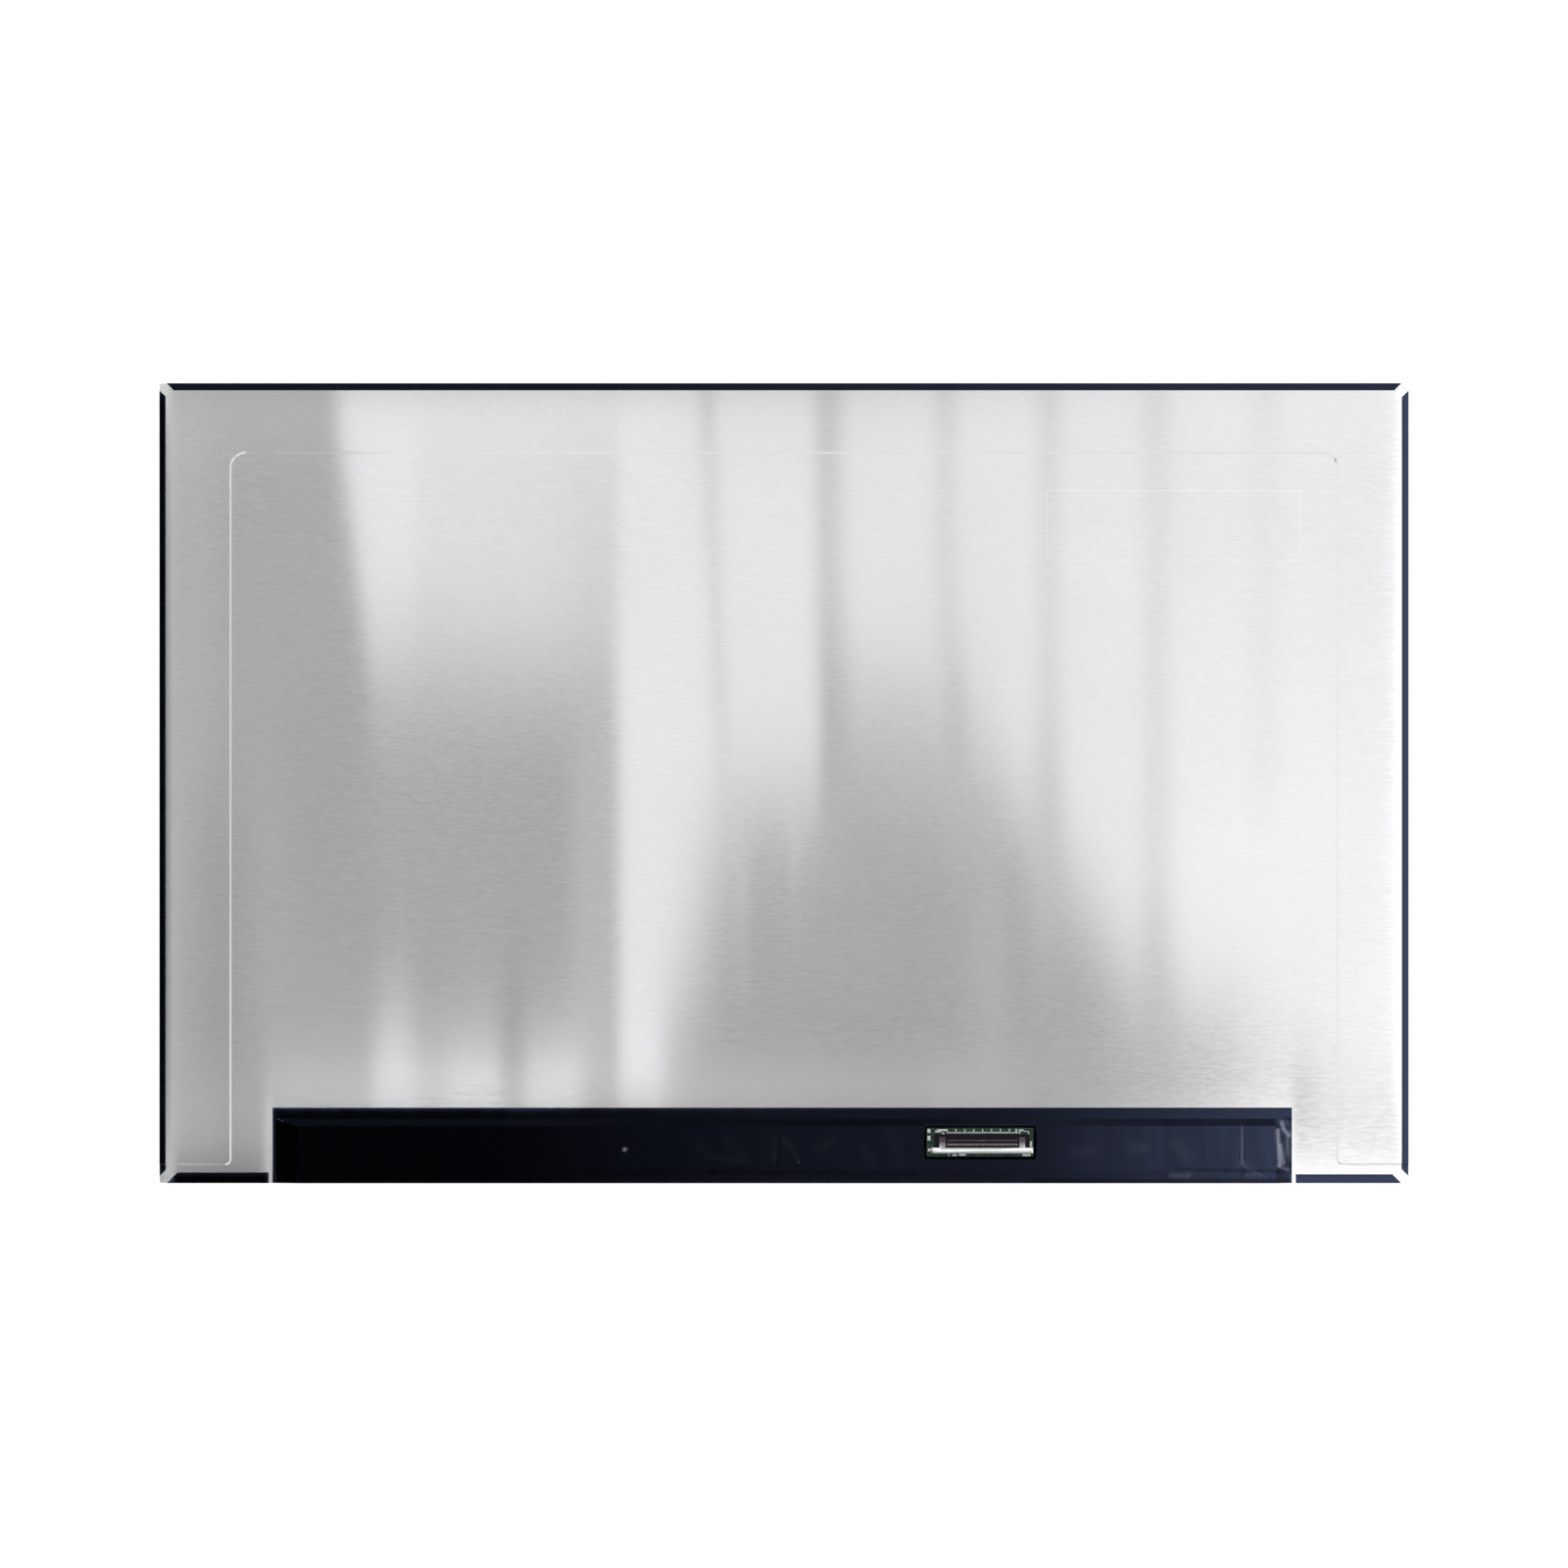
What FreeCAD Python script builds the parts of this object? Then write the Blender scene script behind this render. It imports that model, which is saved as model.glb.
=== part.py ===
"""Notebook display panel with a 16 inch, 16:10 picture.

The panel lies on its screen: Z is zero at the front polariser and points out of the metal back,
X runs to the right and Y to the top edge as seen from the back, and the origin is the outline's centre.
"""
import FreeCAD
import Part
import math
import os

import Sketcher

# Every size is in millimetres: name, value, what it measures.
SIZES = (
    ("active_width", 344.68, "picture, left to right"),
    ("active_height", 215.42, "picture, bottom to top"),
    ("side_border", 2.99, "picture to outline at the left and right"),
    ("top_border", 3.0, "picture to outline at the top"),
    ("filter_margin", 2.2, "picture to the lower edge of the colour filter glass"),
    ("bond_ledge", 2.5, "array glass left open below the colour filter glass"),
    ("bend_depth", 1.48, "array glass to outline at the bottom, for the bent films"),
    ("tape_thickness", 0.06, "every black film tape"),
    ("fit_gap", 0.05, "clearance between nested pieces"),
    ("film_gap", 0.15, "clearance round the loose optical sheets"),
    ("glass_gap", 0.1, "glass edge to the edge tape"),
    ("air_gap", 0.06, "rear polariser to the first optical sheet"),
    ("overcut", 1.0, "reach of cutting shapes past the faces they cut"),
    ("polariser_margin", 0.9, "polarisers past the picture"),
    ("front_polariser_thickness", 0.12, "front polariser"),
    ("rear_polariser_thickness", 0.12, "rear polariser"),
    ("glass_thickness", 0.25, "each of the two glasses"),
    ("prism_thickness", 0.14, "each of the two prism sheets"),
    ("diffuser_thickness", 0.1, "diffuser sheet"),
    ("guide_thickness", 0.5, "light guide"),
    ("reflector_thickness", 0.15, "reflector sheet"),
    ("frame_side_wall", 1.37, "moulded frame at the left, right and top"),
    ("frame_bottom_wall", 2.2, "moulded frame at the bottom"),
    ("lamp_count", 60, "light-emitting diodes in the row"),
    ("lamp_width", 3.0, "lamp, along the row"),
    ("lamp_depth", 0.9, "lamp, away from the light guide"),
    ("lamp_height", 0.4, "lamp, off its strip"),
    ("lamp_flex_thickness", 0.1, "lamp strip and its tail"),
    ("lamp_flex_overlap", 2.4, "lamp strip over the light guide"),
    ("tail_width", 8.0, "tail of the lamp strip"),
    ("tail_bond", 1.5, "tail soldered on the control board"),
    ("plate_thickness", 0.25, "sheet of the back plate"),
    ("plate_corner_radius", 0.6, "back plate corners in plan"),
    ("wall_setback", 1.1, "outline to the back plate behind the bent films"),
    ("step_height", 0.4, "pressed rim above the field of the back plate"),
    ("step_run", 0.55, "width of the sloped step"),
    ("step_side_margin", 19.93, "outline to the step at the left and right"),
    ("step_top_margin", 19.5, "outline to the step at the top"),
    ("step_foot", 5.3, "bottom edge to the lower ends of the rim"),
    ("step_corner_radius", 4.0, "field corners at the top"),
    ("foot_corner_radius", 1.2, "rim corners at the bottom"),
    ("mark_width", 0.3, "scribed lines"),
    ("mark_depth", 0.04, "scribed lines"),
    ("label_width", 71.6, "scribed label field"),
    ("label_height", 19.8, "scribed label field"),
    ("label_right", 30.0, "outline to the label field at the right"),
    ("label_top", 30.0, "outline to the label field at the top"),
    ("mark_drop", 2.2, "label field to the upright line below it"),
    ("mark_indent", 18.2, "left of the label field to the upright line"),
    ("mark_length", 30.3, "upright line"),
    ("left_strip", 1.75, "edge tape on the back, left"),
    ("right_strip", 1.93, "edge tape on the back, right"),
    ("top_strip", 2.04, "edge tape on the back, top"),
    ("bottom_left_strip", 3.03, "edge tape on the back, bottom left"),
    ("bottom_right_strip", 2.5, "edge tape on the back, bottom right"),
    ("mitre_setback", 2.0, "corner to the cut end of an edge tape"),
    ("cover_left", 31.73, "outline to the cover tape at the left"),
    ("cover_right", 32.73, "outline to the cover tape at the right"),
    ("cover_spacing", 1.1, "cover tape to the bottom edge tapes"),
    ("cover_flange", 4.4, "cover tape above the control board"),
    ("cover_gap", 0.05, "cover tape over what it covers"),
    ("cover_top_slope", 2.0, "cover tape coming down past the board's upper edge"),
    ("cover_end_slope", 4.0, "cover tape coming down past the board's ends"),
    ("cover_foot_slope", 2.0, "cover tape coming down along the board's lower edge"),
    ("cover_inset", 0.5, "edge of the raised cover inside the board's edges"),
    ("board_height", 13.9, "control board, bottom to top"),
    ("board_thickness", 0.5, "control board"),
    ("board_end_margin", 4.8, "control board inside the ends of the cover tape"),
    ("adhesive_thickness", 0.1, "adhesive under the control board"),
    ("adhesive_inset", 0.5, "adhesive inside the board's edges"),
    ("film_width", 40.0, "driver film"),
    ("film_thickness", 0.05, "driver film"),
    ("film_bond", 1.0, "driver film soldered on the control board"),
    ("glass_bond_gap", 0.3, "colour filter glass to the driver film"),
    ("bend_gap", 0.065, "bent film to the cover tape"),
    ("bend_radius", 1.0, "outside of a film's bends"),
    ("driver_chip_length", 20.0, "driver chip, along the edge"),
    ("driver_chip_depth", 1.3, "driver chip, across the edge"),
    ("driver_chip_height", 0.4, "driver chip, under its film"),
    ("driver_chip_gap", 0.24, "driver chip to the bend and to the board"),
    ("controller_side", 8.0, "timing controller"),
    ("controller_height", 0.9, "timing controller"),
    ("controller_at", 2.4, "timing controller right of centre"),
    ("power_side", 6.0, "power controller"),
    ("power_height", 0.8, "power controller"),
    ("power_at", -10.0, "power controller right of centre"),
    ("memory_side", 5.0, "flash memory"),
    ("memory_height", 0.75, "flash memory"),
    ("memory_at", 14.0, "flash memory right of centre"),
    ("shifter_side", 5.0, "level shifter"),
    ("shifter_height", 0.75, "level shifter"),
    ("shifter_at", 34.0, "level shifter right of centre"),
    ("lamp_driver_side", 4.0, "lamp driver"),
    ("lamp_driver_height", 0.75, "lamp driver"),
    ("lamp_driver_at", -60.0, "lamp driver right of centre"),
    ("inductor_side", 4.5, "power inductors"),
    ("inductor_height", 1.0, "power inductors"),
    ("inductor_at", -50.0, "first power inductor right of centre"),
    ("inductor_pitch", 8.0, "power inductors, centre to centre"),
    ("capacitor_length", 1.6, "ceramic capacitors"),
    ("capacitor_side", 0.8, "ceramic capacitors, depth and height"),
    ("capacitor_at", -26.0, "first capacitors right of centre"),
    ("resistor_length", 1.0, "resistors"),
    ("resistor_depth", 0.5, "resistors"),
    ("resistor_height", 0.35, "resistors"),
    ("resistor_at", 20.0, "first resistors right of centre"),
    ("passive_pitch", 2.6, "capacitors and resistors, centre to centre"),
    ("passive_row", 3.0, "capacitor and resistor rows off the board's middle"),
    ("connector_at", 55.6, "signal connector right of centre"),
    ("connector_setback", 2.4, "board's upper edge to the contact tails"),
    ("connector_width", 26.6, "connector housing"),
    ("connector_height", 1.1, "connector off the board"),
    ("tail_room", 0.6, "contact tails behind the housing"),
    ("housing_back", 1.6, "housing behind the opening"),
    ("opening_depth", 2.1, "opening between the housing's back and the shell"),
    ("opening_width", 20.8, "opening over the contacts"),
    ("housing_floor", 0.2, "housing under the opening"),
    ("tongue_height", 0.5, "tongue that carries the contacts"),
    ("tongue_reach", 1.8, "tongue in front of the housing's back"),
    ("shell_depth", 1.6, "shell over the mouth"),
    ("shell_overhang", 0.65, "shell past each end of the housing"),
    ("shell_thickness", 0.15, "shell"),
    ("shell_foot", 0.35, "shell's soldered feet, outwards"),
    ("arm_width", 1.6, "shell's arms over the ends of the housing"),
    ("arm_reach", 2.9, "shell's arms towards the contact tails"),
    ("contact_count", 40, "contacts"),
    ("contact_pitch", 0.5, "contacts, centre to centre"),
    ("contact_width", 0.2, "contact"),
    ("contact_thickness", 0.12, "contact"),
    ("contact_foot", 0.35, "soldered foot of a contact"),
    ("window_back", 1.2, "cover window behind the contact tails"),
    ("window_front", 1.0, "cover window in front of the shell"),
    ("window_left", 2.3, "cover window past the housing at the left"),
    ("window_right", 1.15, "cover window past the housing at the right"),
)
FILM_COUNT = 4
INDUCTOR_COUNT = 3
PASSIVE_COLUMNS = 5
# Most of a bent film's height that one of its two bends may take.
BEND_SHARE = 0.49
# Level thickness of the cover tape on its slopes, for each thickness of the tape.
SLOPED_FILM = 1.5

# Places in plan, worked out from the sizes.
HALF_W = "(Sizes.active_width / 2 + Sizes.side_border)"
BOTTOM_BORDER = "(Sizes.filter_margin + Sizes.bond_ledge + Sizes.bend_depth)"
HALF_H = f"((Sizes.active_height + Sizes.top_border + {BOTTOM_BORDER}) / 2)"
ACTIVE_HALF = "(Sizes.active_width / 2)"
ACTIVE_TOP = f"({HALF_H} - Sizes.top_border)"
ACTIVE_BOTTOM = f"({BOTTOM_BORDER} - {HALF_H})"
POLARISER_HALF = f"({ACTIVE_HALF} + Sizes.polariser_margin)"
POLARISER_TOP = f"({ACTIVE_TOP} + Sizes.polariser_margin)"
POLARISER_BOTTOM = f"({ACTIVE_BOTTOM} - Sizes.polariser_margin)"
PLATE_HALF_W = f"({HALF_W} - Sizes.tape_thickness)"
PLATE_HALF_H = f"({HALF_H} - Sizes.tape_thickness)"
GLASS_HALF = f"({PLATE_HALF_W} - Sizes.glass_gap)"
GLASS_TOP = f"({PLATE_HALF_H} - Sizes.glass_gap)"
FILTER_BOTTOM = f"({ACTIVE_BOTTOM} - Sizes.filter_margin)"
ARRAY_BOTTOM = f"({FILTER_BOTTOM} - Sizes.bond_ledge)"
WALL_BOTTOM = f"(Sizes.wall_setback - {HALF_H})"
FRAME_HALF = f"({PLATE_HALF_W} - Sizes.plate_thickness - Sizes.fit_gap)"
FRAME_TOP = f"({PLATE_HALF_H} - Sizes.plate_thickness - Sizes.fit_gap)"
FRAME_BOTTOM = f"({WALL_BOTTOM} + Sizes.plate_thickness + Sizes.fit_gap)"
FRAME_INNER_HALF = f"({FRAME_HALF} - Sizes.frame_side_wall)"
FRAME_INNER_TOP = f"({FRAME_TOP} - Sizes.frame_side_wall)"
FRAME_INNER_BOTTOM = f"({FRAME_BOTTOM} + Sizes.frame_bottom_wall)"
SHEET_HALF = f"({FRAME_INNER_HALF} - Sizes.film_gap)"
SHEET_TOP = f"({FRAME_INNER_TOP} - Sizes.film_gap)"
LAMP_BACK = f"({FRAME_INNER_BOTTOM} + Sizes.film_gap)"
GUIDE_BOTTOM = f"({LAMP_BACK} + Sizes.lamp_depth + Sizes.fit_gap)"
LAMP_FLEX_TOP = f"({GUIDE_BOTTOM} + Sizes.lamp_flex_overlap)"
STEP_HALF = f"({HALF_W} - Sizes.step_side_margin)"
STEP_TOP = f"({HALF_H} - Sizes.step_top_margin)"
STEP_FOOT = f"(Sizes.step_foot - {HALF_H})"
BEND_OUT = f"(Sizes.tape_thickness + Sizes.bend_gap - {HALF_H})"
DRIVER_CHIP_LOW = f"({BEND_OUT} + Sizes.bend_radius + Sizes.driver_chip_gap)"
DRIVER_CHIP_HIGH = f"({DRIVER_CHIP_LOW} + Sizes.driver_chip_depth)"
COVER_LEFT = f"(Sizes.cover_left - {HALF_W})"
COVER_RIGHT = f"({HALF_W} - Sizes.cover_right)"
BOARD_LEFT = f"({COVER_LEFT} + Sizes.board_end_margin)"
BOARD_RIGHT = f"({COVER_RIGHT} - Sizes.board_end_margin)"
BOARD_BOTTOM = f"({DRIVER_CHIP_HIGH} + Sizes.driver_chip_gap)"
BOARD_TOP = f"({BOARD_BOTTOM} + Sizes.board_height)"
BOARD_MIDDLE = f"(({BOARD_BOTTOM} + {BOARD_TOP}) / 2)"
COVER_TOP = f"({BOARD_TOP} + Sizes.cover_flange)"
FILM_STATION = f"(({BOARD_RIGHT} - {BOARD_LEFT}) / {FILM_COUNT})"
TAIL_AT = f"({BOARD_LEFT} + {FILM_STATION})"
CONTACT_END = f"({BOARD_TOP} - Sizes.connector_setback)"
HOUSING_BACK = f"({CONTACT_END} - Sizes.tail_room)"
OPENING_BACK = f"({HOUSING_BACK} - Sizes.housing_back)"
OPENING_FRONT = f"({OPENING_BACK} - Sizes.opening_depth)"
SHELL_FRONT = f"({OPENING_FRONT} - Sizes.shell_depth)"
CONNECTOR_LEFT = "(Sizes.connector_at - Sizes.connector_width / 2)"
CONNECTOR_RIGHT = "(Sizes.connector_at + Sizes.connector_width / 2)"

# Levels, from the screen to the back.
Z_FILTER = "Sizes.front_polariser_thickness"
Z_ARRAY = f"({Z_FILTER} + Sizes.glass_thickness)"
Z_ARRAY_REAR = f"({Z_ARRAY} + Sizes.glass_thickness)"
Z_FRAME = f"({Z_ARRAY_REAR} + Sizes.rear_polariser_thickness + Sizes.air_gap)"
Z_LOWER_PRISM = f"({Z_FRAME} + Sizes.prism_thickness)"
Z_DIFFUSER = f"({Z_LOWER_PRISM} + Sizes.prism_thickness)"
Z_GUIDE = f"({Z_DIFFUSER} + Sizes.diffuser_thickness)"
Z_REFLECTOR = f"({Z_GUIDE} + Sizes.guide_thickness)"
Z_PLATE_UNDER = (f"({Z_REFLECTOR} + max(Sizes.reflector_thickness; "
                 "Sizes.lamp_flex_thickness + Sizes.fit_gap))")
Z_PLATE = f"({Z_PLATE_UNDER} + Sizes.plate_thickness)"
Z_RIM = f"({Z_PLATE} + Sizes.step_height)"
Z_RIM_UNDER = f"({Z_RIM} - Sizes.plate_thickness)"
Z_BOARD = f"({Z_PLATE} + Sizes.adhesive_thickness)"
Z_BOARD_TOP = f"({Z_BOARD} + Sizes.board_thickness)"
TALLEST = ("max(Sizes.controller_height; Sizes.power_height; Sizes.memory_height; Sizes.shifter_height; "
           "Sizes.lamp_driver_height; Sizes.inductor_height; Sizes.capacitor_side; Sizes.resistor_height)")
Z_COVER = f"({Z_BOARD_TOP} + {TALLEST} + Sizes.cover_gap)"
Z_SHELF = f"({Z_BOARD_TOP} + max(Sizes.film_thickness; Sizes.lamp_flex_thickness) + Sizes.cover_gap)"
Z_FLAP = f"({Z_ARRAY} - Sizes.film_thickness - Sizes.tape_thickness)"
Z_SHELL = f"({Z_BOARD_TOP} + Sizes.connector_height - Sizes.shell_thickness)"

doc = FreeCAD.newDocument("display_panel")
sheet = doc.addObject("Spreadsheet::Sheet", "Sizes")
pieces = []


def fill_sheet():
    """Writes each driving size with its alias and its meaning."""
    for row, (name, value, meaning) in enumerate(SIZES, start=1):
        sheet.set(f"A{row}", name)
        sheet.set(f"B{row}", str(value))
        sheet.setAlias(f"B{row}", name)
        sheet.set(f"C{row}", meaning)
    doc.recompute()


def keep(piece):
    """Marks a finished sub-part."""
    pieces.append(piece)
    return piece


def about(centre, width):
    """The two ends of a width about a centre."""
    return f"({centre} - {width} / 2)", f"({centre} + {width} / 2)"


def box(label, x, y, z):
    """A block between two places on each axis."""
    block = doc.addObject("Part::Box", label)
    for axis, side, (low, high) in zip("xyz", ("Length", "Width", "Height"), (x, y, z)):
        block.setExpression(side, f"{high} - {low}")
        block.setExpression(f"Placement.Base.{axis}", low)
    return block


def cut(label, base, tool):
    """A base with a tool taken away."""
    result = doc.addObject("Part::Cut", label)
    result.Base = base
    result.Tool = tool
    return result


def join(label, *members):
    """Several shapes as one solid."""
    result = doc.addObject("Part::MultiFuse", label)
    result.Shapes = list(members)
    result.Refine = True
    return result


def overlap(label, *members):
    """What several shapes share."""
    result = doc.addObject("Part::MultiCommon", label)
    result.Shapes = list(members)
    return result


def group(label, members):
    """Several separate solids in one piece."""
    result = doc.addObject("Part::Compound", label)
    result.Links = members
    return result


def ring(label, outer, inner, z):
    """A flat rectangular ring; outer and inner are (left, right, bottom, top)."""
    rim = box(f"{label}_outer", outer[:2], outer[2:], z)
    past = (f"({z[0]} - Sizes.overcut)", f"({z[1]} + Sizes.overcut)")
    hole = box(f"{label}_hole", inner[:2], inner[2:], past)
    return cut(label, rim, hole)


def hump(label, base, top, z):
    """A block with sloped sides; base and top are (left, right, bottom, top) at the two levels."""
    block = doc.addObject("Part::Wedge", label)
    # The wedge narrows along its own Y, so it is turned to narrow upwards.
    block.Placement.Rotation = FreeCAD.Rotation(FreeCAD.Vector(1, 0, 0), 90)
    for level, key in ((base, ""), (top, "2")):
        left, right, bottom, upper = level
        block.setExpression(f"X{key}min", left)
        block.setExpression(f"X{key}max", right)
        block.setExpression(f"Z{key}min", f"-{upper}")
        block.setExpression(f"Z{key}max", f"-{bottom}")
    block.setExpression("Ymin", z[0])
    block.setExpression("Ymax", z[1])
    return block


def stops_at(corner, here, before, after):
    """Where the straight edges beside a corner end: at the corner, or at the two ends of its arc."""
    x, y, radius = corner
    if radius is None:
        return [(x, y)]
    stops = []
    for other in (before, after):
        signs = [round(math.copysign(min(abs(there - at), 1), there - at)) for there, at in zip(other, here)]
        stops.append(tuple(f"({place} + {sign} * {radius})" for place, sign in zip((x, y), signs)))
    return stops


def draw(sketch, corners):
    """Closes edges through corners given as (x, y) or, at a right angle, as (x, y, radius)."""
    corners = [corner if len(corner) == 3 else (*corner, None) for corner in corners]
    spots = [tuple(float(sheet.evalExpression(place)) for place in corner[:2]) for corner in corners]
    count = len(corners)
    stops = [stops_at(corner, spots[index], spots[index - 1], spots[(index + 1) % count])
             for index, corner in enumerate(corners)]

    def vector(stop):
        return FreeCAD.Vector(*(float(sheet.evalExpression(place)) for place in stop), 0)

    def pin(edge, end, stop):
        for kind, place, spot in zip(("DistanceX", "DistanceY"), stop, vector(stop)):
            index = sketch.addConstraint(Sketcher.Constraint(kind, -1, 1, edge, end, spot))
            sketch.setExpression(f"Constraints[{index}]", place)

    def meet(edge, end, other, other_end):
        sketch.addConstraint(Sketcher.Constraint("Coincident", edge, end, other, other_end))

    lines = []
    for index in range(count):
        start = stops[index][-1]
        end = stops[(index + 1) % count][0]
        lines.append(sketch.addGeometry(Part.LineSegment(vector(start), vector(end))))
    for index, corner in enumerate(corners):
        pin(lines[index], 1, stops[index][-1])
        if corner[2] is None:
            meet(lines[index - 1], 2, lines[index], 1)
            continue
        pin(lines[index - 1], 2, stops[index][0])
        arc_between(sketch, corner, vector, stops[index], lines[index - 1], lines[index], meet)


def arc_between(sketch, corner, vector, stops, line_in, line_out, meet):
    """Rounds one right-angled corner between the two edges that end at its stops."""
    tip = vector(corner[:2])
    first, last = (vector(stop) for stop in stops)
    centre = first + last - tip
    turn = (tip - first).cross(last - tip).z
    ends = (first, last) if turn > 0 else (last, first)
    angles = [math.atan2(end.y - centre.y, end.x - centre.x) for end in ends]
    circle = Part.Circle(centre, FreeCAD.Vector(0, 0, 1), (first - centre).Length)
    arc = sketch.addGeometry(Part.ArcOfCircle(circle, *angles))
    start, end = (1, 2) if turn > 0 else (2, 1)
    meet(line_in, 2, arc, start)
    meet(arc, end, line_out, 1)
    index = sketch.addConstraint(Sketcher.Constraint("Radius", arc, circle.Radius))
    sketch.setExpression(f"Constraints[{index}]", corner[2])


def origin_part(body, role):
    """A plane or an axis of the body's own origin."""
    return next(feature for feature in body.Origin.OriginFeatures if feature.Role == role)


def sketch_on(body, name, plane, offset, corners):
    """A closed outline on one of the body's planes, at an offset along its normal."""
    sketch = body.newObject("Sketcher::SketchObject", f"{body.Name}_{name}")
    sketch.AttachmentSupport = [(origin_part(body, plane), "")]
    sketch.MapMode = "FlatFace"
    sketch.setExpression("AttachmentOffset.Base.z", offset)
    draw(sketch, corners)
    return sketch


def slab(label, corners, z):
    """A plate of the given outline between two levels."""
    body = doc.addObject("PartDesign::Body", label)
    pad = body.newObject("PartDesign::Pad", f"{label}_pad")
    pad.Profile = sketch_on(body, "outline", "XY_Plane", z[0], corners)
    pad.setExpression("Length", f"{z[1]} - {z[0]}")
    return body


def bar(label, corners, x):
    """A profile drawn across the panel, in Y and Z, and drawn out along X."""
    body = doc.addObject("PartDesign::Body", label)
    pad = body.newObject("PartDesign::Pad", f"{label}_pad")
    pad.Profile = sketch_on(body, "profile", "YZ_Plane", x[0], corners)
    pad.setExpression("Length", f"{x[1]} - {x[0]}")
    return body


def row_of(body, count, pitch):
    """Repeats the body's last feature along X."""
    first = body.Tip
    pattern = body.newObject("PartDesign::LinearPattern", f"{body.Name}_row")
    pattern.Originals = [first]
    pattern.Direction = (origin_part(body, "X_Axis"), [""])
    pattern.setExpression("Length", f"{pitch} * ({count} - 1)")
    pattern.setExpression("Occurrences", count)
    body.Tip = pattern
    return body


def bent_film(label, x, thickness, low, foot, head):
    """A film bent round the panel's bottom edge, from its foot at a low level to its head on the board."""
    top = f"({Z_BOARD_TOP} + {thickness})"
    # Two bends share the film's height, so neither takes half of it.
    radius = f"min(Sizes.bend_radius; {BEND_SHARE} * ({top} - {low}))"
    inner = f"({radius} - {thickness})"
    inside = f"({BEND_OUT} + {thickness})"
    return bar(label, (
        (BEND_OUT, low, radius),
        (foot, low),
        (foot, f"({low} + {thickness})"),
        (inside, f"({low} + {thickness})", inner),
        (inside, Z_BOARD_TOP, inner),
        (head, Z_BOARD_TOP),
        (head, top),
        (BEND_OUT, top, radius),
    ), x)


def glass_cell():
    """Front polariser, the two glasses and the rear polariser."""
    polariser_x = (f"-{POLARISER_HALF}", POLARISER_HALF)
    polariser_y = (POLARISER_BOTTOM, POLARISER_TOP)
    glass_x = (f"-{GLASS_HALF}", GLASS_HALF)
    rear = f"({Z_ARRAY_REAR} + Sizes.rear_polariser_thickness)"
    keep(box("front_polariser", polariser_x, polariser_y, ("0", Z_FILTER)))
    keep(box("colour_filter_glass", glass_x, (FILTER_BOTTOM, GLASS_TOP), (Z_FILTER, Z_ARRAY)))
    keep(box("array_glass", glass_x, (ARRAY_BOTTOM, GLASS_TOP), (Z_ARRAY, Z_ARRAY_REAR)))
    keep(box("rear_polariser", polariser_x, polariser_y, (Z_ARRAY_REAR, rear)))


def rim_tape():
    """Black tape that holds the glass to the frame and keeps the sheets in."""
    outer = (f"-{FRAME_HALF}", FRAME_HALF, FRAME_BOTTOM, FRAME_TOP)
    inner = (f"-({POLARISER_HALF} + Sizes.film_gap)", f"({POLARISER_HALF} + Sizes.film_gap)",
             f"({POLARISER_BOTTOM} - Sizes.film_gap)", f"({POLARISER_TOP} + Sizes.film_gap)")
    keep(ring("rim_tape", outer, inner, (Z_ARRAY_REAR, Z_FRAME)))


def moulded_frame():
    """Frame round the light guide, tall under the pressed rim and low along the bottom."""
    outer = (f"-{FRAME_HALF}", FRAME_HALF, FRAME_BOTTOM, FRAME_TOP)
    inner = (f"-{FRAME_INNER_HALF}", FRAME_INNER_HALF, FRAME_INNER_BOTTOM, FRAME_INNER_TOP)
    tall = ring("frame_ring", outer, inner, (Z_FRAME, Z_RIM_UNDER))
    clear = f"({STEP_FOOT} + Sizes.step_run + Sizes.film_gap)"
    above = box("frame_low_end", (f"-{HALF_W}", HALF_W), (f"-{HALF_H}", clear),
                (Z_REFLECTOR, f"({Z_RIM_UNDER} + Sizes.overcut)"))
    keep(cut("moulded_frame", tall, above))


def optical_sheets():
    """Prism sheets, diffuser, light guide and reflector, stacked inside the frame."""
    side = (f"-{SHEET_HALF}", SHEET_HALF)
    reflector_top = f"({Z_REFLECTOR} + Sizes.reflector_thickness)"
    stack = (
        ("upper_prism_sheet", GUIDE_BOTTOM, Z_FRAME, Z_LOWER_PRISM),
        ("lower_prism_sheet", GUIDE_BOTTOM, Z_LOWER_PRISM, Z_DIFFUSER),
        ("diffuser_sheet", GUIDE_BOTTOM, Z_DIFFUSER, Z_GUIDE),
        ("light_guide", GUIDE_BOTTOM, Z_GUIDE, Z_REFLECTOR),
        ("reflector_sheet", f"({LAMP_FLEX_TOP} + Sizes.film_gap)", Z_REFLECTOR, reflector_top),
    )
    for label, bottom, low, high in stack:
        keep(box(label, side, (bottom, SHEET_TOP), (low, high)))


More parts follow.
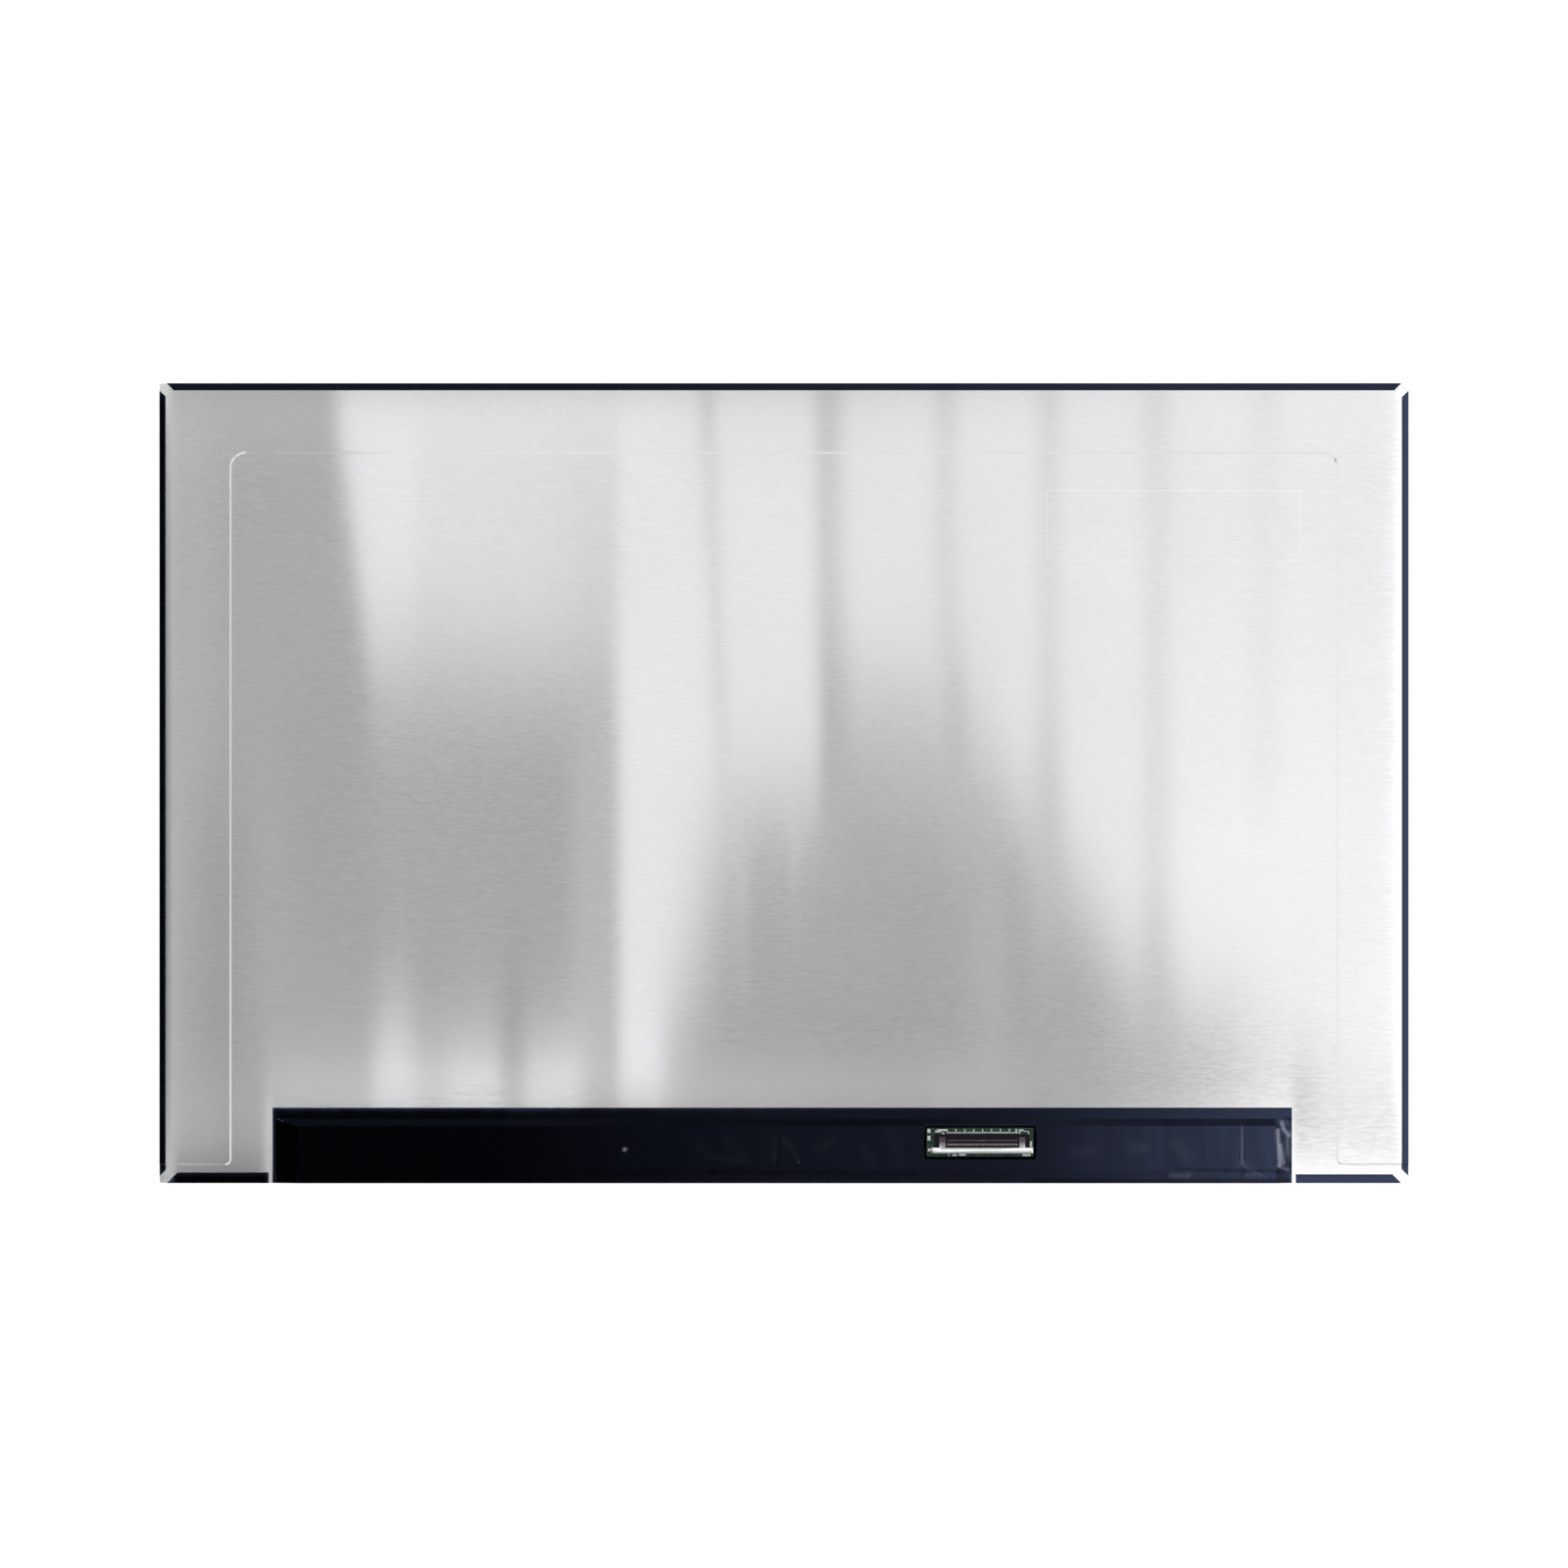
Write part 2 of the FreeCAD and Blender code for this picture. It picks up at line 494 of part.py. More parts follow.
def lamp_bar():
    """Row of lamps on a flexible strip whose tail bends round to the control board."""
    strip_top = f"({Z_REFLECTOR} + Sizes.lamp_flex_thickness)"
    strip = box("lamp_strip_flat", (f"-{ACTIVE_HALF}", ACTIVE_HALF), (FRAME_BOTTOM, LAMP_FLEX_TOP),
                (Z_REFLECTOR, strip_top))
    tail = bent_film("lamp_tail", about(TAIL_AT, "Sizes.tail_width"), "Sizes.lamp_flex_thickness",
                     Z_REFLECTOR, LAMP_BACK, f"({BOARD_BOTTOM} + Sizes.tail_bond)")
    keep(join("lamp_strip", strip, tail))
    pitch = "(Sizes.active_width / Sizes.lamp_count)"
    front = f"({LAMP_BACK} + Sizes.lamp_depth)"
    low = f"({Z_REFLECTOR} - Sizes.lamp_height)"
    profile = ((LAMP_BACK, low), (front, low), (front, Z_REFLECTOR), (LAMP_BACK, Z_REFLECTOR))
    first = about(f"({pitch} / 2 - {ACTIVE_HALF})", "Sizes.lamp_width")
    keep(row_of(bar("lamps", profile, first), "Sizes.lamp_count", pitch))


def field(label, lift):
    """The lowered field of the back plate and its open bottom band, as a cutting shape with sloped sides."""
    body = doc.addObject("PartDesign::Body", label)

    def outline(name, z, spread, radius, foot_radius):
        half = f"({STEP_HALF} + {spread} * Sizes.step_run)"
        top = f"({STEP_TOP} + {spread} * Sizes.step_run)"
        foot = f"({STEP_FOOT} + {spread} * Sizes.step_run)"
        past = f"({HALF_W} + Sizes.overcut)"
        below = f"(-{HALF_H} - Sizes.overcut)"
        return sketch_on(body, name, "XY_Plane", f"{z} + {lift}", (
            (f"-{past}", below),
            (past, below),
            (past, foot),
            (half, foot, foot_radius),
            (half, top, radius),
            (f"-{half}", top, radius),
            (f"-{half}", foot, foot_radius),
            (f"-{past}", foot),
        ))

    loft = body.newObject("PartDesign::AdditiveLoft", f"{label}_loft")
    loft.Profile = outline("floor", Z_PLATE, "-0.5", "Sizes.step_corner_radius",
                           "(Sizes.foot_corner_radius + Sizes.step_run)")
    loft.Sections = [outline("edge", Z_RIM, "0.5", "(Sizes.step_corner_radius + Sizes.step_run)",
                             "Sizes.foot_corner_radius")]
    loft.Ruled = True
    return body


def plate_outline(inset, radius):
    """The back plate in plan, set back along the bottom where the films bend, and moved in by an inset."""
    side = f"({PLATE_HALF_W} - {inset})"
    end = f"({PLATE_HALF_H} - {inset})"
    wall = f"({WALL_BOTTOM} + {inset})"
    left = f"({BOARD_LEFT} - {inset})"
    right = f"({BOARD_RIGHT} + {inset})"
    return (
        (f"-{side}", f"-{end}", radius),
        (left, f"-{end}"),
        (left, wall),
        (right, wall),
        (right, f"-{end}"),
        (side, f"-{end}", radius),
        (side, end, radius),
        (f"-{side}", end, radius),
    )


def scribed_marks():
    """Fine lines scribed in the plate's field: a label field and one upright line."""
    z = (f"({Z_PLATE} - Sizes.mark_depth)", f"({Z_PLATE} + Sizes.overcut)")
    right = f"({HALF_W} - Sizes.label_right)"
    top = f"({HALF_H} - Sizes.label_top)"
    left = f"({right} - Sizes.label_width)"
    bottom = f"({top} - Sizes.label_height)"
    line = "Sizes.mark_width"
    within = (f"({left} + {line})", f"({right} - {line})", f"({bottom} + {line})", f"({top} - {line})")
    label_field = ring("label_field", (left, right, bottom, top), within, z)
    upright_top = f"({bottom} - Sizes.mark_drop)"
    upright_left = f"({left} + Sizes.mark_indent)"
    upright = box("upright_line", (upright_left, f"({upright_left} + {line})"),
                  (f"({upright_top} - Sizes.mark_length)", upright_top), z)
    return label_field, upright


def back_plate():
    """Pressed sheet with side walls, a raised rim on three sides and a lowered field."""
    sheet_under = "-Sizes.plate_thickness"
    outside = cut("plate_outside",
                  slab("plate_blank", plate_outline("0", "Sizes.plate_corner_radius"), (Z_FRAME, Z_RIM)),
                  field("plate_field", "0"))
    inside = cut("plate_inside",
                 slab("plate_hollow", plate_outline("Sizes.plate_thickness", None),
                      (f"({Z_FRAME} - Sizes.overcut)", Z_RIM_UNDER)),
                 field("plate_field_under", sheet_under))
    tray = cut("plate_tray", outside, inside)
    tail_low, tail_high = about(TAIL_AT, "Sizes.tail_width")
    notch = box("tail_notch", (f"({tail_low} - Sizes.film_gap)", f"({tail_high} + Sizes.film_gap)"),
                (f"({WALL_BOTTOM} - Sizes.fit_gap)", FRAME_BOTTOM),
                (f"({Z_FRAME} - Sizes.overcut)", Z_PLATE_UNDER))
    keep(cut("back_plate", tray, join("plate_cuts", notch, *scribed_marks())))


def edge_tapes():
    """Black film along the four edges, down over the sides, with mitred ends at the corners."""
    tape = "Sizes.tape_thickness"
    cut_back = "Sizes.mitre_setback"
    past = "Sizes.overcut"
    outside = box("tape_outside", (f"-{HALF_W}", HALF_W), (f"-{HALF_H}", HALF_H),
                  (Z_FILTER, f"({Z_RIM} + {tape})"))
    inside = box("tape_inside", (f"-{PLATE_HALF_W}", PLATE_HALF_W), (f"-{PLATE_HALF_H}", PLATE_HALF_H),
                 (f"({Z_FILTER} - {past})", Z_RIM))
    skin = cut("tape_skin", cut("tape_skin_outside", outside, field("tape_field", tape)),
               cut("tape_skin_inside", inside, field("tape_field_under", "0")))
    reach = f"({HALF_H} - {cut_back} + {past})"
    span = f"({HALF_W} - {cut_back} + {past})"
    edge = f"({HALF_W} + {past})"
    brow = f"({HALF_H} + {past})"

    def upright(side, width):
        inner = f"({HALF_W} - {width})"
        end = f"({HALF_H} - {cut_back} - {width})"
        return ((f"{side}{edge}", f"-{reach}"), (f"{side}{inner}", f"-{end}"),
                (f"{side}{inner}", end), (f"{side}{edge}", reach))

    def level(side, width, stop):
        inner = f"({HALF_H} - {width})"
        end = f"({HALF_W} - {cut_back} - {width})"
        return ((f"{side}{span}", f"-{brow}"), (f"{side}{end}", f"-{inner}"),
                (stop, f"-{inner}"), (stop, f"-{brow}"))

    top_inner = f"({HALF_H} - Sizes.top_strip)"
    top_end = f"({HALF_W} - {cut_back} - Sizes.top_strip)"
    left_stop = f"({COVER_LEFT} - Sizes.cover_spacing)"
    right_stop = f"({COVER_RIGHT} + Sizes.cover_spacing)"
    regions = {
        "edge_tape_left": upright("-", "Sizes.left_strip"),
        "edge_tape_right": upright("", "Sizes.right_strip"),
        "edge_tape_top": ((f"-{span}", brow), (f"-{top_end}", top_inner), (top_end, top_inner), (span, brow)),
        "edge_tape_bottom_left": level("-", "Sizes.bottom_left_strip", left_stop),
        "edge_tape_bottom_right": level("", "Sizes.bottom_right_strip", right_stop),
    }
    for label, corners in regions.items():
        area = slab(f"{label}_area", corners, (f"({Z_FILTER} - {past})", f"({Z_RIM} + {past})"))
        keep(overlap(label, skin, area))


def board_cover_tape():
    """Wide black film over the control board, round the bottom edge and on to the glass ledge."""
    tape = "Sizes.tape_thickness"
    past = "Sizes.overcut"
    # A sloped film measures more than its thickness when it is measured level.
    slope = f"({SLOPED_FILM} * {tape})"
    ends = (COVER_LEFT, COVER_RIGHT)
    edge = (f"-{HALF_H}", f"({tape} - {HALF_H})")
    flange_top = f"({Z_PLATE} + {tape})"
    flange = box("cover_flat", ends, (f"-{HALF_H}", COVER_TOP), (Z_PLATE, flange_top))
    skirt = box("cover_skirt", ends, edge, (Z_FLAP, flange_top))
    flap = box("cover_flap", ends, (f"-{HALF_H}", f"({FILTER_BOTTOM} - Sizes.fit_gap)"),
               (Z_FLAP, f"({Z_FLAP} + {tape})"))
    foot_edge = f"({BOARD_BOTTOM} + Sizes.cover_foot_slope)"
    shelf = box("cover_shelf", (f"({BOARD_LEFT} - {tape})", f"({BOARD_RIGHT} + {tape})"),
                (f"-{HALF_H}", foot_edge), (Z_PLATE, f"({Z_SHELF} + {tape})"))
    shelf_room = box("cover_shelf_room", (BOARD_LEFT, BOARD_RIGHT), (edge[1], foot_edge),
                     (f"({Z_PLATE} - {past})", Z_SHELF))

    def raised(label, grow, z_top):
        run = f"(Sizes.cover_end_slope + {grow})"
        rise = f"(Sizes.cover_inset - {grow})"
        base = (f"({BOARD_LEFT} - {run})", f"({BOARD_RIGHT} + {run})",
                f"({BOARD_BOTTOM} - {grow})", f"({BOARD_TOP} + Sizes.cover_top_slope + {grow})")
        top = (f"({BOARD_LEFT} + {rise})", f"({BOARD_RIGHT} - {rise})",
               f"({foot_edge} - {grow})", f"({BOARD_TOP} - {rise})")
        return hump(label, base, top, (Z_PLATE, z_top))

    outer = raised("cover_raised", slope, f"({Z_COVER} + {tape})")
    room = raised("cover_room", "0", Z_COVER)
    window = box("cover_window",
                 (f"({CONNECTOR_LEFT} - Sizes.window_left)", f"({CONNECTOR_RIGHT} + Sizes.window_right)"),
                 (f"({SHELL_FRONT} - Sizes.window_front)", f"({CONTACT_END} + Sizes.window_back)"),
                 (f"({Z_COVER} - {tape})", f"({Z_COVER} + {past})"))
    film = join("cover_film", flange, skirt, flap, shelf, outer)
    keep(cut("board_cover_tape", film, join("cover_spaces", shelf_room, room, window)))


def control_board():
    """Board stuck to the back plate, with its chips, inductors and small parts."""
    inset = "Sizes.adhesive_inset"
    keep(box("board_adhesive", (f"({BOARD_LEFT} + {inset})", f"({BOARD_RIGHT} - {inset})"),
             (f"({BOARD_BOTTOM} + {inset})", f"({BOARD_TOP} - {inset})"), (Z_PLATE, Z_BOARD)))
    keep(box("control_board", (BOARD_LEFT, BOARD_RIGHT), (BOARD_BOTTOM, BOARD_TOP), (Z_BOARD, Z_BOARD_TOP)))
    chips = {
        "timing_controller": "controller",
        "power_controller": "power",
        "flash_memory": "memory",
        "level_shifter": "shifter",
        "lamp_driver": "lamp_driver",
    }
    for label, key in chips.items():
        side = f"Sizes.{key}_side"
        keep(on_board(label, f"Sizes.{key}_at", BOARD_MIDDLE, side, side, f"Sizes.{key}_height"))
    for index in range(INDUCTOR_COUNT):
        at = f"(Sizes.inductor_at + {index} * Sizes.inductor_pitch)"
        side = "Sizes.inductor_side"
        keep(on_board(f"power_inductor_{index + 1}", at, BOARD_MIDDLE, side, side, "Sizes.inductor_height"))
    passives("ceramic_capacitors", "Sizes.capacitor_at", "Sizes.capacitor_length", "Sizes.capacitor_side",
             "Sizes.capacitor_side")
    passives("chip_resistors", "Sizes.resistor_at", "Sizes.resistor_length", "Sizes.resistor_depth",
             "Sizes.resistor_height")


def on_board(label, x, y, width, depth, height):
    """A block soldered on the control board."""
    return box(label, about(x, width), about(y, depth), (Z_BOARD_TOP, f"({Z_BOARD_TOP} + {height})"))


def passives(label, start, width, depth, height):
    """Two rows of small parts on the control board."""
    members = []
    for column in range(PASSIVE_COLUMNS):
        x = f"({start} + {column} * Sizes.passive_pitch)"
        for side in "+-":
            y = f"({BOARD_MIDDLE} {side} Sizes.passive_row)"
            members.append(on_board(f"{label}_{len(members) + 1}", x, y, width, depth, height))
    keep(group(label, members))


def driver_films():
    """Films that carry the picture signals from the board to the glass, each with its chip."""
    thickness = "Sizes.film_thickness"
    chip_y = (DRIVER_CHIP_LOW, DRIVER_CHIP_HIGH)
    chip_z = (f"({Z_BOARD_TOP} - Sizes.driver_chip_height)", Z_BOARD_TOP)
    for index in range(FILM_COUNT):
        centre = f"({BOARD_LEFT} + {index + 0.5} * {FILM_STATION})"
        keep(bent_film(f"driver_film_{index + 1}", about(centre, "Sizes.film_width"), thickness,
                       f"({Z_ARRAY} - {thickness})", f"({FILTER_BOTTOM} - Sizes.glass_bond_gap)",
                       f"({BOARD_BOTTOM} + Sizes.film_bond)"))
        keep(box(f"driver_chip_{index + 1}", about(centre, "Sizes.driver_chip_length"), chip_y, chip_z))


def signal_connector():
    """Socket for the display cable: its mouth faces the bottom edge, and its contact tails the top."""
    across = (CONNECTOR_LEFT, CONNECTOR_RIGHT)
    opening = about("Sizes.connector_at", "Sizes.opening_width")
    contacts = connector_contacts()
    ahead = (OPENING_FRONT, OPENING_BACK)
    full = (Z_BOARD_TOP, Z_SHELL)
    back = box("housing_back", across, (OPENING_BACK, HOUSING_BACK), full)
    floor = box("housing_floor", across, ahead, (Z_BOARD_TOP, f"({Z_BOARD_TOP} + Sizes.housing_floor)"))
    left = box("housing_left", (CONNECTOR_LEFT, opening[0]), ahead, full)
    right = box("housing_right", (opening[1], CONNECTOR_RIGHT), ahead, full)
    tongue = box("housing_tongue", opening, (f"({OPENING_BACK} - Sizes.tongue_reach)", OPENING_BACK),
                 (Z_BOARD_TOP, f"({Z_BOARD_TOP} + Sizes.tongue_height)"))
    keep(cut("connector_housing", join("housing_block", back, floor, left, right, tongue), contacts))
    keep(contacts)
    connector_shell(opening)


def connector_contacts():
    """Flat springs from the soldered feet through the housing's back to the tongue."""
    thick = "Sizes.contact_thickness"
    riser = f"({CONTACT_END} - Sizes.contact_foot)"
    riser_front = f"({riser} - {thick})"
    beam = f"({Z_BOARD_TOP} + Sizes.tongue_height)"
    tip = f"({OPENING_BACK} - Sizes.tongue_reach)"
    profile = (
        (CONTACT_END, Z_BOARD_TOP),
        (CONTACT_END, f"({Z_BOARD_TOP} + {thick})"),
        (riser, f"({Z_BOARD_TOP} + {thick})"),
        (riser, f"({beam} + {thick})"),
        (tip, f"({beam} + {thick})"),
        (tip, beam),
        (riser_front, beam),
        (riser_front, Z_BOARD_TOP),
    )
    first = "(Sizes.connector_at - (Sizes.contact_count - 1) / 2 * Sizes.contact_pitch)"
    contact = bar("connector_contacts", profile, about(first, "Sizes.contact_width"))
    return row_of(contact, "Sizes.contact_count", "Sizes.contact_pitch")


def connector_shell(opening):
    """Folded sheet over the mouth, with two arms on the housing's ends and two soldered feet."""
    thick = "Sizes.shell_thickness"
    sheet_z = (Z_SHELL, f"({Z_SHELL} + {thick})")
    left = f"({CONNECTOR_LEFT} - Sizes.shell_overhang)"
    right = f"({CONNECTOR_RIGHT} + Sizes.shell_overhang)"
    mouth = (SHELL_FRONT, OPENING_FRONT)
    arm_y = (OPENING_FRONT, f"({OPENING_FRONT} + Sizes.arm_reach)")
    foot_z = (Z_BOARD_TOP, f"({Z_BOARD_TOP} + {thick})")
    members = [
        box("shell_bar", (left, right), mouth, sheet_z),
        box("shell_left_arm", (f"({opening[0]} - Sizes.arm_width)", opening[0]), arm_y, sheet_z),
        box("shell_right_arm", (opening[1], f"({opening[1]} + Sizes.arm_width)"), arm_y, sheet_z),
        box("shell_left_leg", (left, f"({left} + {thick})"), mouth, (Z_BOARD_TOP, Z_SHELL)),
        box("shell_right_leg", (f"({right} - {thick})", right), mouth, (Z_BOARD_TOP, Z_SHELL)),
        box("shell_left_foot", (f"({left} - Sizes.shell_foot)", left), mouth, foot_z),
        box("shell_right_foot", (right, f"({right} + Sizes.shell_foot)"), mouth, foot_z),
    ]
    keep(join("connector_shell", *members))


def check():
    """Stops if any object failed, or if a sub-part isn't a sound solid."""
    for item in doc.Objects:
        if "Invalid" in item.State or "Error" in item.State:
            raise RuntimeError(f"{item.Label} failed: {item.State}")
    for piece in pieces:
        shape = piece.Shape
        if shape.isNull() or not shape.isValid() or not shape.Solids:
            raise RuntimeError(f"{piece.Label} isn't a sound solid")


def export():
    """Writes one file for each sub-part."""
    os.makedirs("parts", exist_ok=True)
    for piece in pieces:
        piece.Shape.exportStep(f"parts/{piece.Label}.step")


fill_sheet()
glass_cell()
rim_tape()
moulded_frame()
optical_sheets()
lamp_bar()
back_plate()
edge_tapes()
control_board()
driver_films()
signal_connector()
board_cover_tape()
doc.recompute()
check()
export()
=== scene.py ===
"""Looks of a notebook display panel that lies on its screen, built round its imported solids.

Lengths are in metres in the panel's own frame: X to the right, Y to the top edge, Z out of the metal back.
"""
import math

import bpy
import numpy as np
from bpy.props import FloatProperty, FloatVectorProperty, IntProperty, PointerProperty
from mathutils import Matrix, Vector, noise


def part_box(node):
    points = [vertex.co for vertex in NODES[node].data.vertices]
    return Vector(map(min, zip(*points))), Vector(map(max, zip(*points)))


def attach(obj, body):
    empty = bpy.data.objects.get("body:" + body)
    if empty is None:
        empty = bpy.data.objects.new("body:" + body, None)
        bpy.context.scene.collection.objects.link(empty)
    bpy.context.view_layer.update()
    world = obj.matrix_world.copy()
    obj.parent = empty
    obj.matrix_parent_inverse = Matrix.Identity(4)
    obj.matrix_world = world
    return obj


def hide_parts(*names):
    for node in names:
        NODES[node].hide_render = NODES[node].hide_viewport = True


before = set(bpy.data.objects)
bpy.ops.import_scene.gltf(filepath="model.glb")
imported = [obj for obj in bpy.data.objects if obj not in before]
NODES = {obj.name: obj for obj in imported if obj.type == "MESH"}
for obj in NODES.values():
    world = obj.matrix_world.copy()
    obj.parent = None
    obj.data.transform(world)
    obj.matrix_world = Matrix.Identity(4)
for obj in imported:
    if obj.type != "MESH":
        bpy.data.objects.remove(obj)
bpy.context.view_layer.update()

bl_info = {
    "name": "Display Panel Looks",
    "version": (1, 0, 0),
    "blender": (4, 5, 0),
    "location": "View3D > Sidebar > Display Panel",
    "description": "Finishes, cover film, board details and studio of a notebook display panel",
    "category": "Object",
}

MM = 0.001
BODY = "root"
EDGE_TAPES = [f"edge_tape_{side}" for side in ("left", "right", "top", "bottom_left", "bottom_right")]
CHIPS = ["timing_controller", "power_controller", "flash_memory", "level_shifter", "lamp_driver"]
COILS = [f"power_inductor_{place}" for place in range(1, 4)]
SIGNAL_FILMS = [f"driver_film_{place}" for place in range(1, 5)]
SIGNAL_CHIPS = [f"driver_chip_{place}" for place in range(1, 5)]
TALL_LEFT = min(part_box(name)[0].x for name in (*CHIPS, *COILS, "ceramic_capacitors", "chip_resistors"))
PLATE_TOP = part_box("back_plate")[1].z
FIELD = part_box("board_adhesive")[0].z
BOARD_LOW, BOARD_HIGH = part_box("control_board")
COVER_LOW, COVER_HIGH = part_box("board_cover_tape")
SHELL_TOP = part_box("connector_shell")[1].y
CONTACT_LOW, CONTACT_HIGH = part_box("connector_contacts")
POLARISER_LOW, POLARISER_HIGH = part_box("front_polariser")


# Sizes and colours that a user would change


def length(label, words, default):
    """A size in metres."""
    return FloatProperty(name=label, description=words, default=default, subtype="DISTANCE", unit="LENGTH",
                         precision=6)


def colour(label, words, default):
    """A linear colour."""
    return FloatVectorProperty(name=label, description=words, default=default, subtype="COLOR", min=0, max=1)


def share(label, words, default):
    """A number from nought to one."""
    return FloatProperty(name=label, description=words, default=default, subtype="FACTOR", min=0, max=1)


class MetalFinish(bpy.types.PropertyGroup):
    """Finish of the rolled back plate."""
    tone: colour("Tone", "Reflected colour of the bare sheet", (0.925, 0.925, 0.935))
    roughness: share("Roughness", "Blur of the reflections", 0.104)
    smear: share("Smear", "How far the rolling grain draws reflections across itself", 1.0)
    grain_length: length("Grain length", "Length of a rolling line", 2.6 * MM)
    grain_pitch: length("Grain pitch", "Distance between rolling lines", 0.45 * MM)
    grain_depth: length("Grain depth", "Height of the rolling lines", 0.00035 * MM)
    # Width of the painted highlight along the scribed lines.
    scribe_width: length("Scribe width", "Width of the scribed lines", 0.32 * MM)
    wave_width: length("Wave width", "Distance between the sheet's long upright waves", 45 * MM)
    wave_depth: length("Wave depth", "Height of the sheet's long upright waves", 0.07 * MM)


class TapeFinish(bpy.types.PropertyGroup):
    """Finish and shape of the black films."""
    tone: colour("Tone", "Body colour of the film", (0.0008, 0.0008, 0.0010))
    sheen: colour("Sheen", "Colour of the film's reflections", (0.43, 0.54, 1.0))
    # Colour of the painted highlights on the film's creases and facets, and of one dust speck.
    scuff: colour("Scuff", "Colour of the film where it is scuffed", (0.36, 0.38, 0.46))
    roughness: share("Roughness", "Blur of the reflections", 0.03)
    thickness: length("Thickness", "Film with its adhesive", 0.06 * MM)
    column: length("Column", "Distance between the mesh lines across the cover film", 0.55 * MM)
    row: length("Row", "Distance between the mesh lines along the cover film", 0.42 * MM)
    sag: length("Sag", "How far the film sinks between the parts under it", 0.34 * MM)
    shelf: length("Shelf", "Film at the bottom edge above the board", 0.21 * MM)
    rise: length("Rise", "Width of the slope up to the board's parts", 1.94 * MM)
    rise_start: length("Rise start", "Foot of the slope beyond the board's top edge", 1.3 * MM)
    crinkle: length("Crinkle", "Height of the film's small bumps", 0.05 * MM)
    fold: length("Fold", "Radius of the film's folds round the bottom edge", 0.2 * MM)
    window_width: length("Window width", "Width of the opening over the socket", 30.05 * MM)
    window_left: length("Window left", "Left side of the opening over the socket", 40.0 * MM)
    window_top: length("Window top", "Top side of the opening below the film's top edge", 5.6 * MM)
    window_height: length("Window height", "Height of the opening over the socket", 8.1 * MM)
    lip: length("Lip", "Width of the edge that is pressed down round the opening", 0.75 * MM)


class BoardFinish(bpy.types.PropertyGroup):
    """Finish of the control board and the signal socket."""
    mask: colour("Mask", "Colour of the green solder mask", (0.006, 0.034, 0.024))
    track: colour("Track", "Colour of the mask over copper", (0.020, 0.080, 0.056))
    ink: colour("Ink", "Colour of the printed marks", (0.84, 0.92, 0.89))
    tin: colour("Tin", "Colour of bare solder", (0.90, 0.92, 0.92))
    shell: colour("Shell", "Colour of the socket's pressed shell", (0.93, 0.94, 0.96))
    # Colour of the painted shade at the tips of the shell's arms.
    arm: colour("Arm", "Colour of the shell's arms at their tips", (0.24, 0.21, 0.25))
    moulding: colour("Moulding", "Colour of the socket's plastic", (0.010, 0.007, 0.014))
    spring: colour("Spring", "Colour of the contact springs", (0.62, 0.56, 0.60))
    ink_height: length("Ink height", "Thickness of the printed marks", 0.015 * MM)
    tick_pitch: length("Tick pitch", "Distance between the marks that count the contacts", 2.5 * MM)
    contacts: IntProperty(name="Contacts", description="Number of the socket's contacts", default=40)
    contact_pitch: length("Contact pitch", "Distance between the contacts", 0.5 * MM)


class StudioSettings(bpy.types.PropertyGroup):
    """Camera, floor and overhead light."""
    lens: FloatProperty(name="Lens", description="Focal length", default=100, subtype="DISTANCE_CAMERA")
    view_width: length("View width", "Width of the picture at the panel", 440.15 * MM)
    view_drop: length("View drop", "Picture's centre below the panel's centre", 0.22 * MM)
    canopy_height: length("Canopy height", "Overhead light above the panel", 300 * MM)
    canopy_size: length("Canopy size", "Width of the overhead light", 6.0)
    canopy_glow: FloatProperty(name="Canopy glow", description="Brightness of the overhead light",
                               default=0.86)
    floor_size: length("Floor size", "Width of the floor", 6.0)


def finishes():
    """The settings that the operators read."""
    return bpy.context.scene.display_panel


# Node trees


class Tree:
    """A node tree, with short ways to add to it; each gives the sockets or the socket that comes out."""

    def __init__(self, tree):
        self.tree = tree

    def feed(self, socket, value):
        """Sets a socket, or links it if the value is another node's socket."""
        if isinstance(value, bpy.types.NodeSocket):
            self.tree.links.new(value, socket)
        else:
            socket.default_value = value

    def add(self, kind, inputs=(), **settings):
        """A node; inputs gives values or feeding sockets by name or place."""
        node = self.tree.nodes.new(f"ShaderNode{kind}")
        for key, value in settings.items():
            setattr(node, key, value)
        for key, value in dict(inputs).items():
            self.feed(node.inputs[key], value)
        return node.outputs

    def math(self, operation, *values):
        """The result of a sum on one or more numbers."""
        return self.add("Math", enumerate(values), operation=operation)[0]

    def vector(self, operation, *values):
        """The result of a sum on one or two vectors."""
        return self.add("VectorMath", enumerate(values), operation=operation)[0]

    def scaled(self, tone, level):
        """A colour made lighter or darker by a number."""
        return self.add("VectorMath", {0: tone, "Scale": level}, operation="SCALE")[0]

    def coordinate(self, place, axis):
        """One coordinate of a place."""
        return self.add("SeparateXYZ", {0: place})[axis]

    def apart(self, value, place):
        """Distance of a number from a place."""
        return self.math("ABSOLUTE", self.math("SUBTRACT", value, place))

    def ramp(self, value, low, high, to_low, to_high):
        """A number carried from one range to another."""
        ends = {"From Min": low, "From Max": high, "To Min": to_low, "To Max": to_high}
        return self.add("MapRange", {"Value": value, **ends})[0]

    def blend(self, mask, under, over):
        """One colour laid over another through a mask."""
        return self.add("Mix", {0: mask, 6: under, 7: over}, data_type="RGBA")[2]


class Group(Tree):
    """A new node group with sockets of the given kinds."""

    def __init__(self, name, inputs, outputs):
        super().__init__(bpy.data.node_groups.new(name, "ShaderNodeTree"))
        for direction, sockets in (("INPUT", inputs), ("OUTPUT", outputs)):
            for label, kind in sockets.items():
                self.tree.interface.new_socket(label, in_out=direction, socket_type=f"NodeSocket{kind}")
        self.enter = self.tree.nodes.new("NodeGroupInput").outputs
        self.leave = self.tree.nodes.new("NodeGroupOutput").inputs


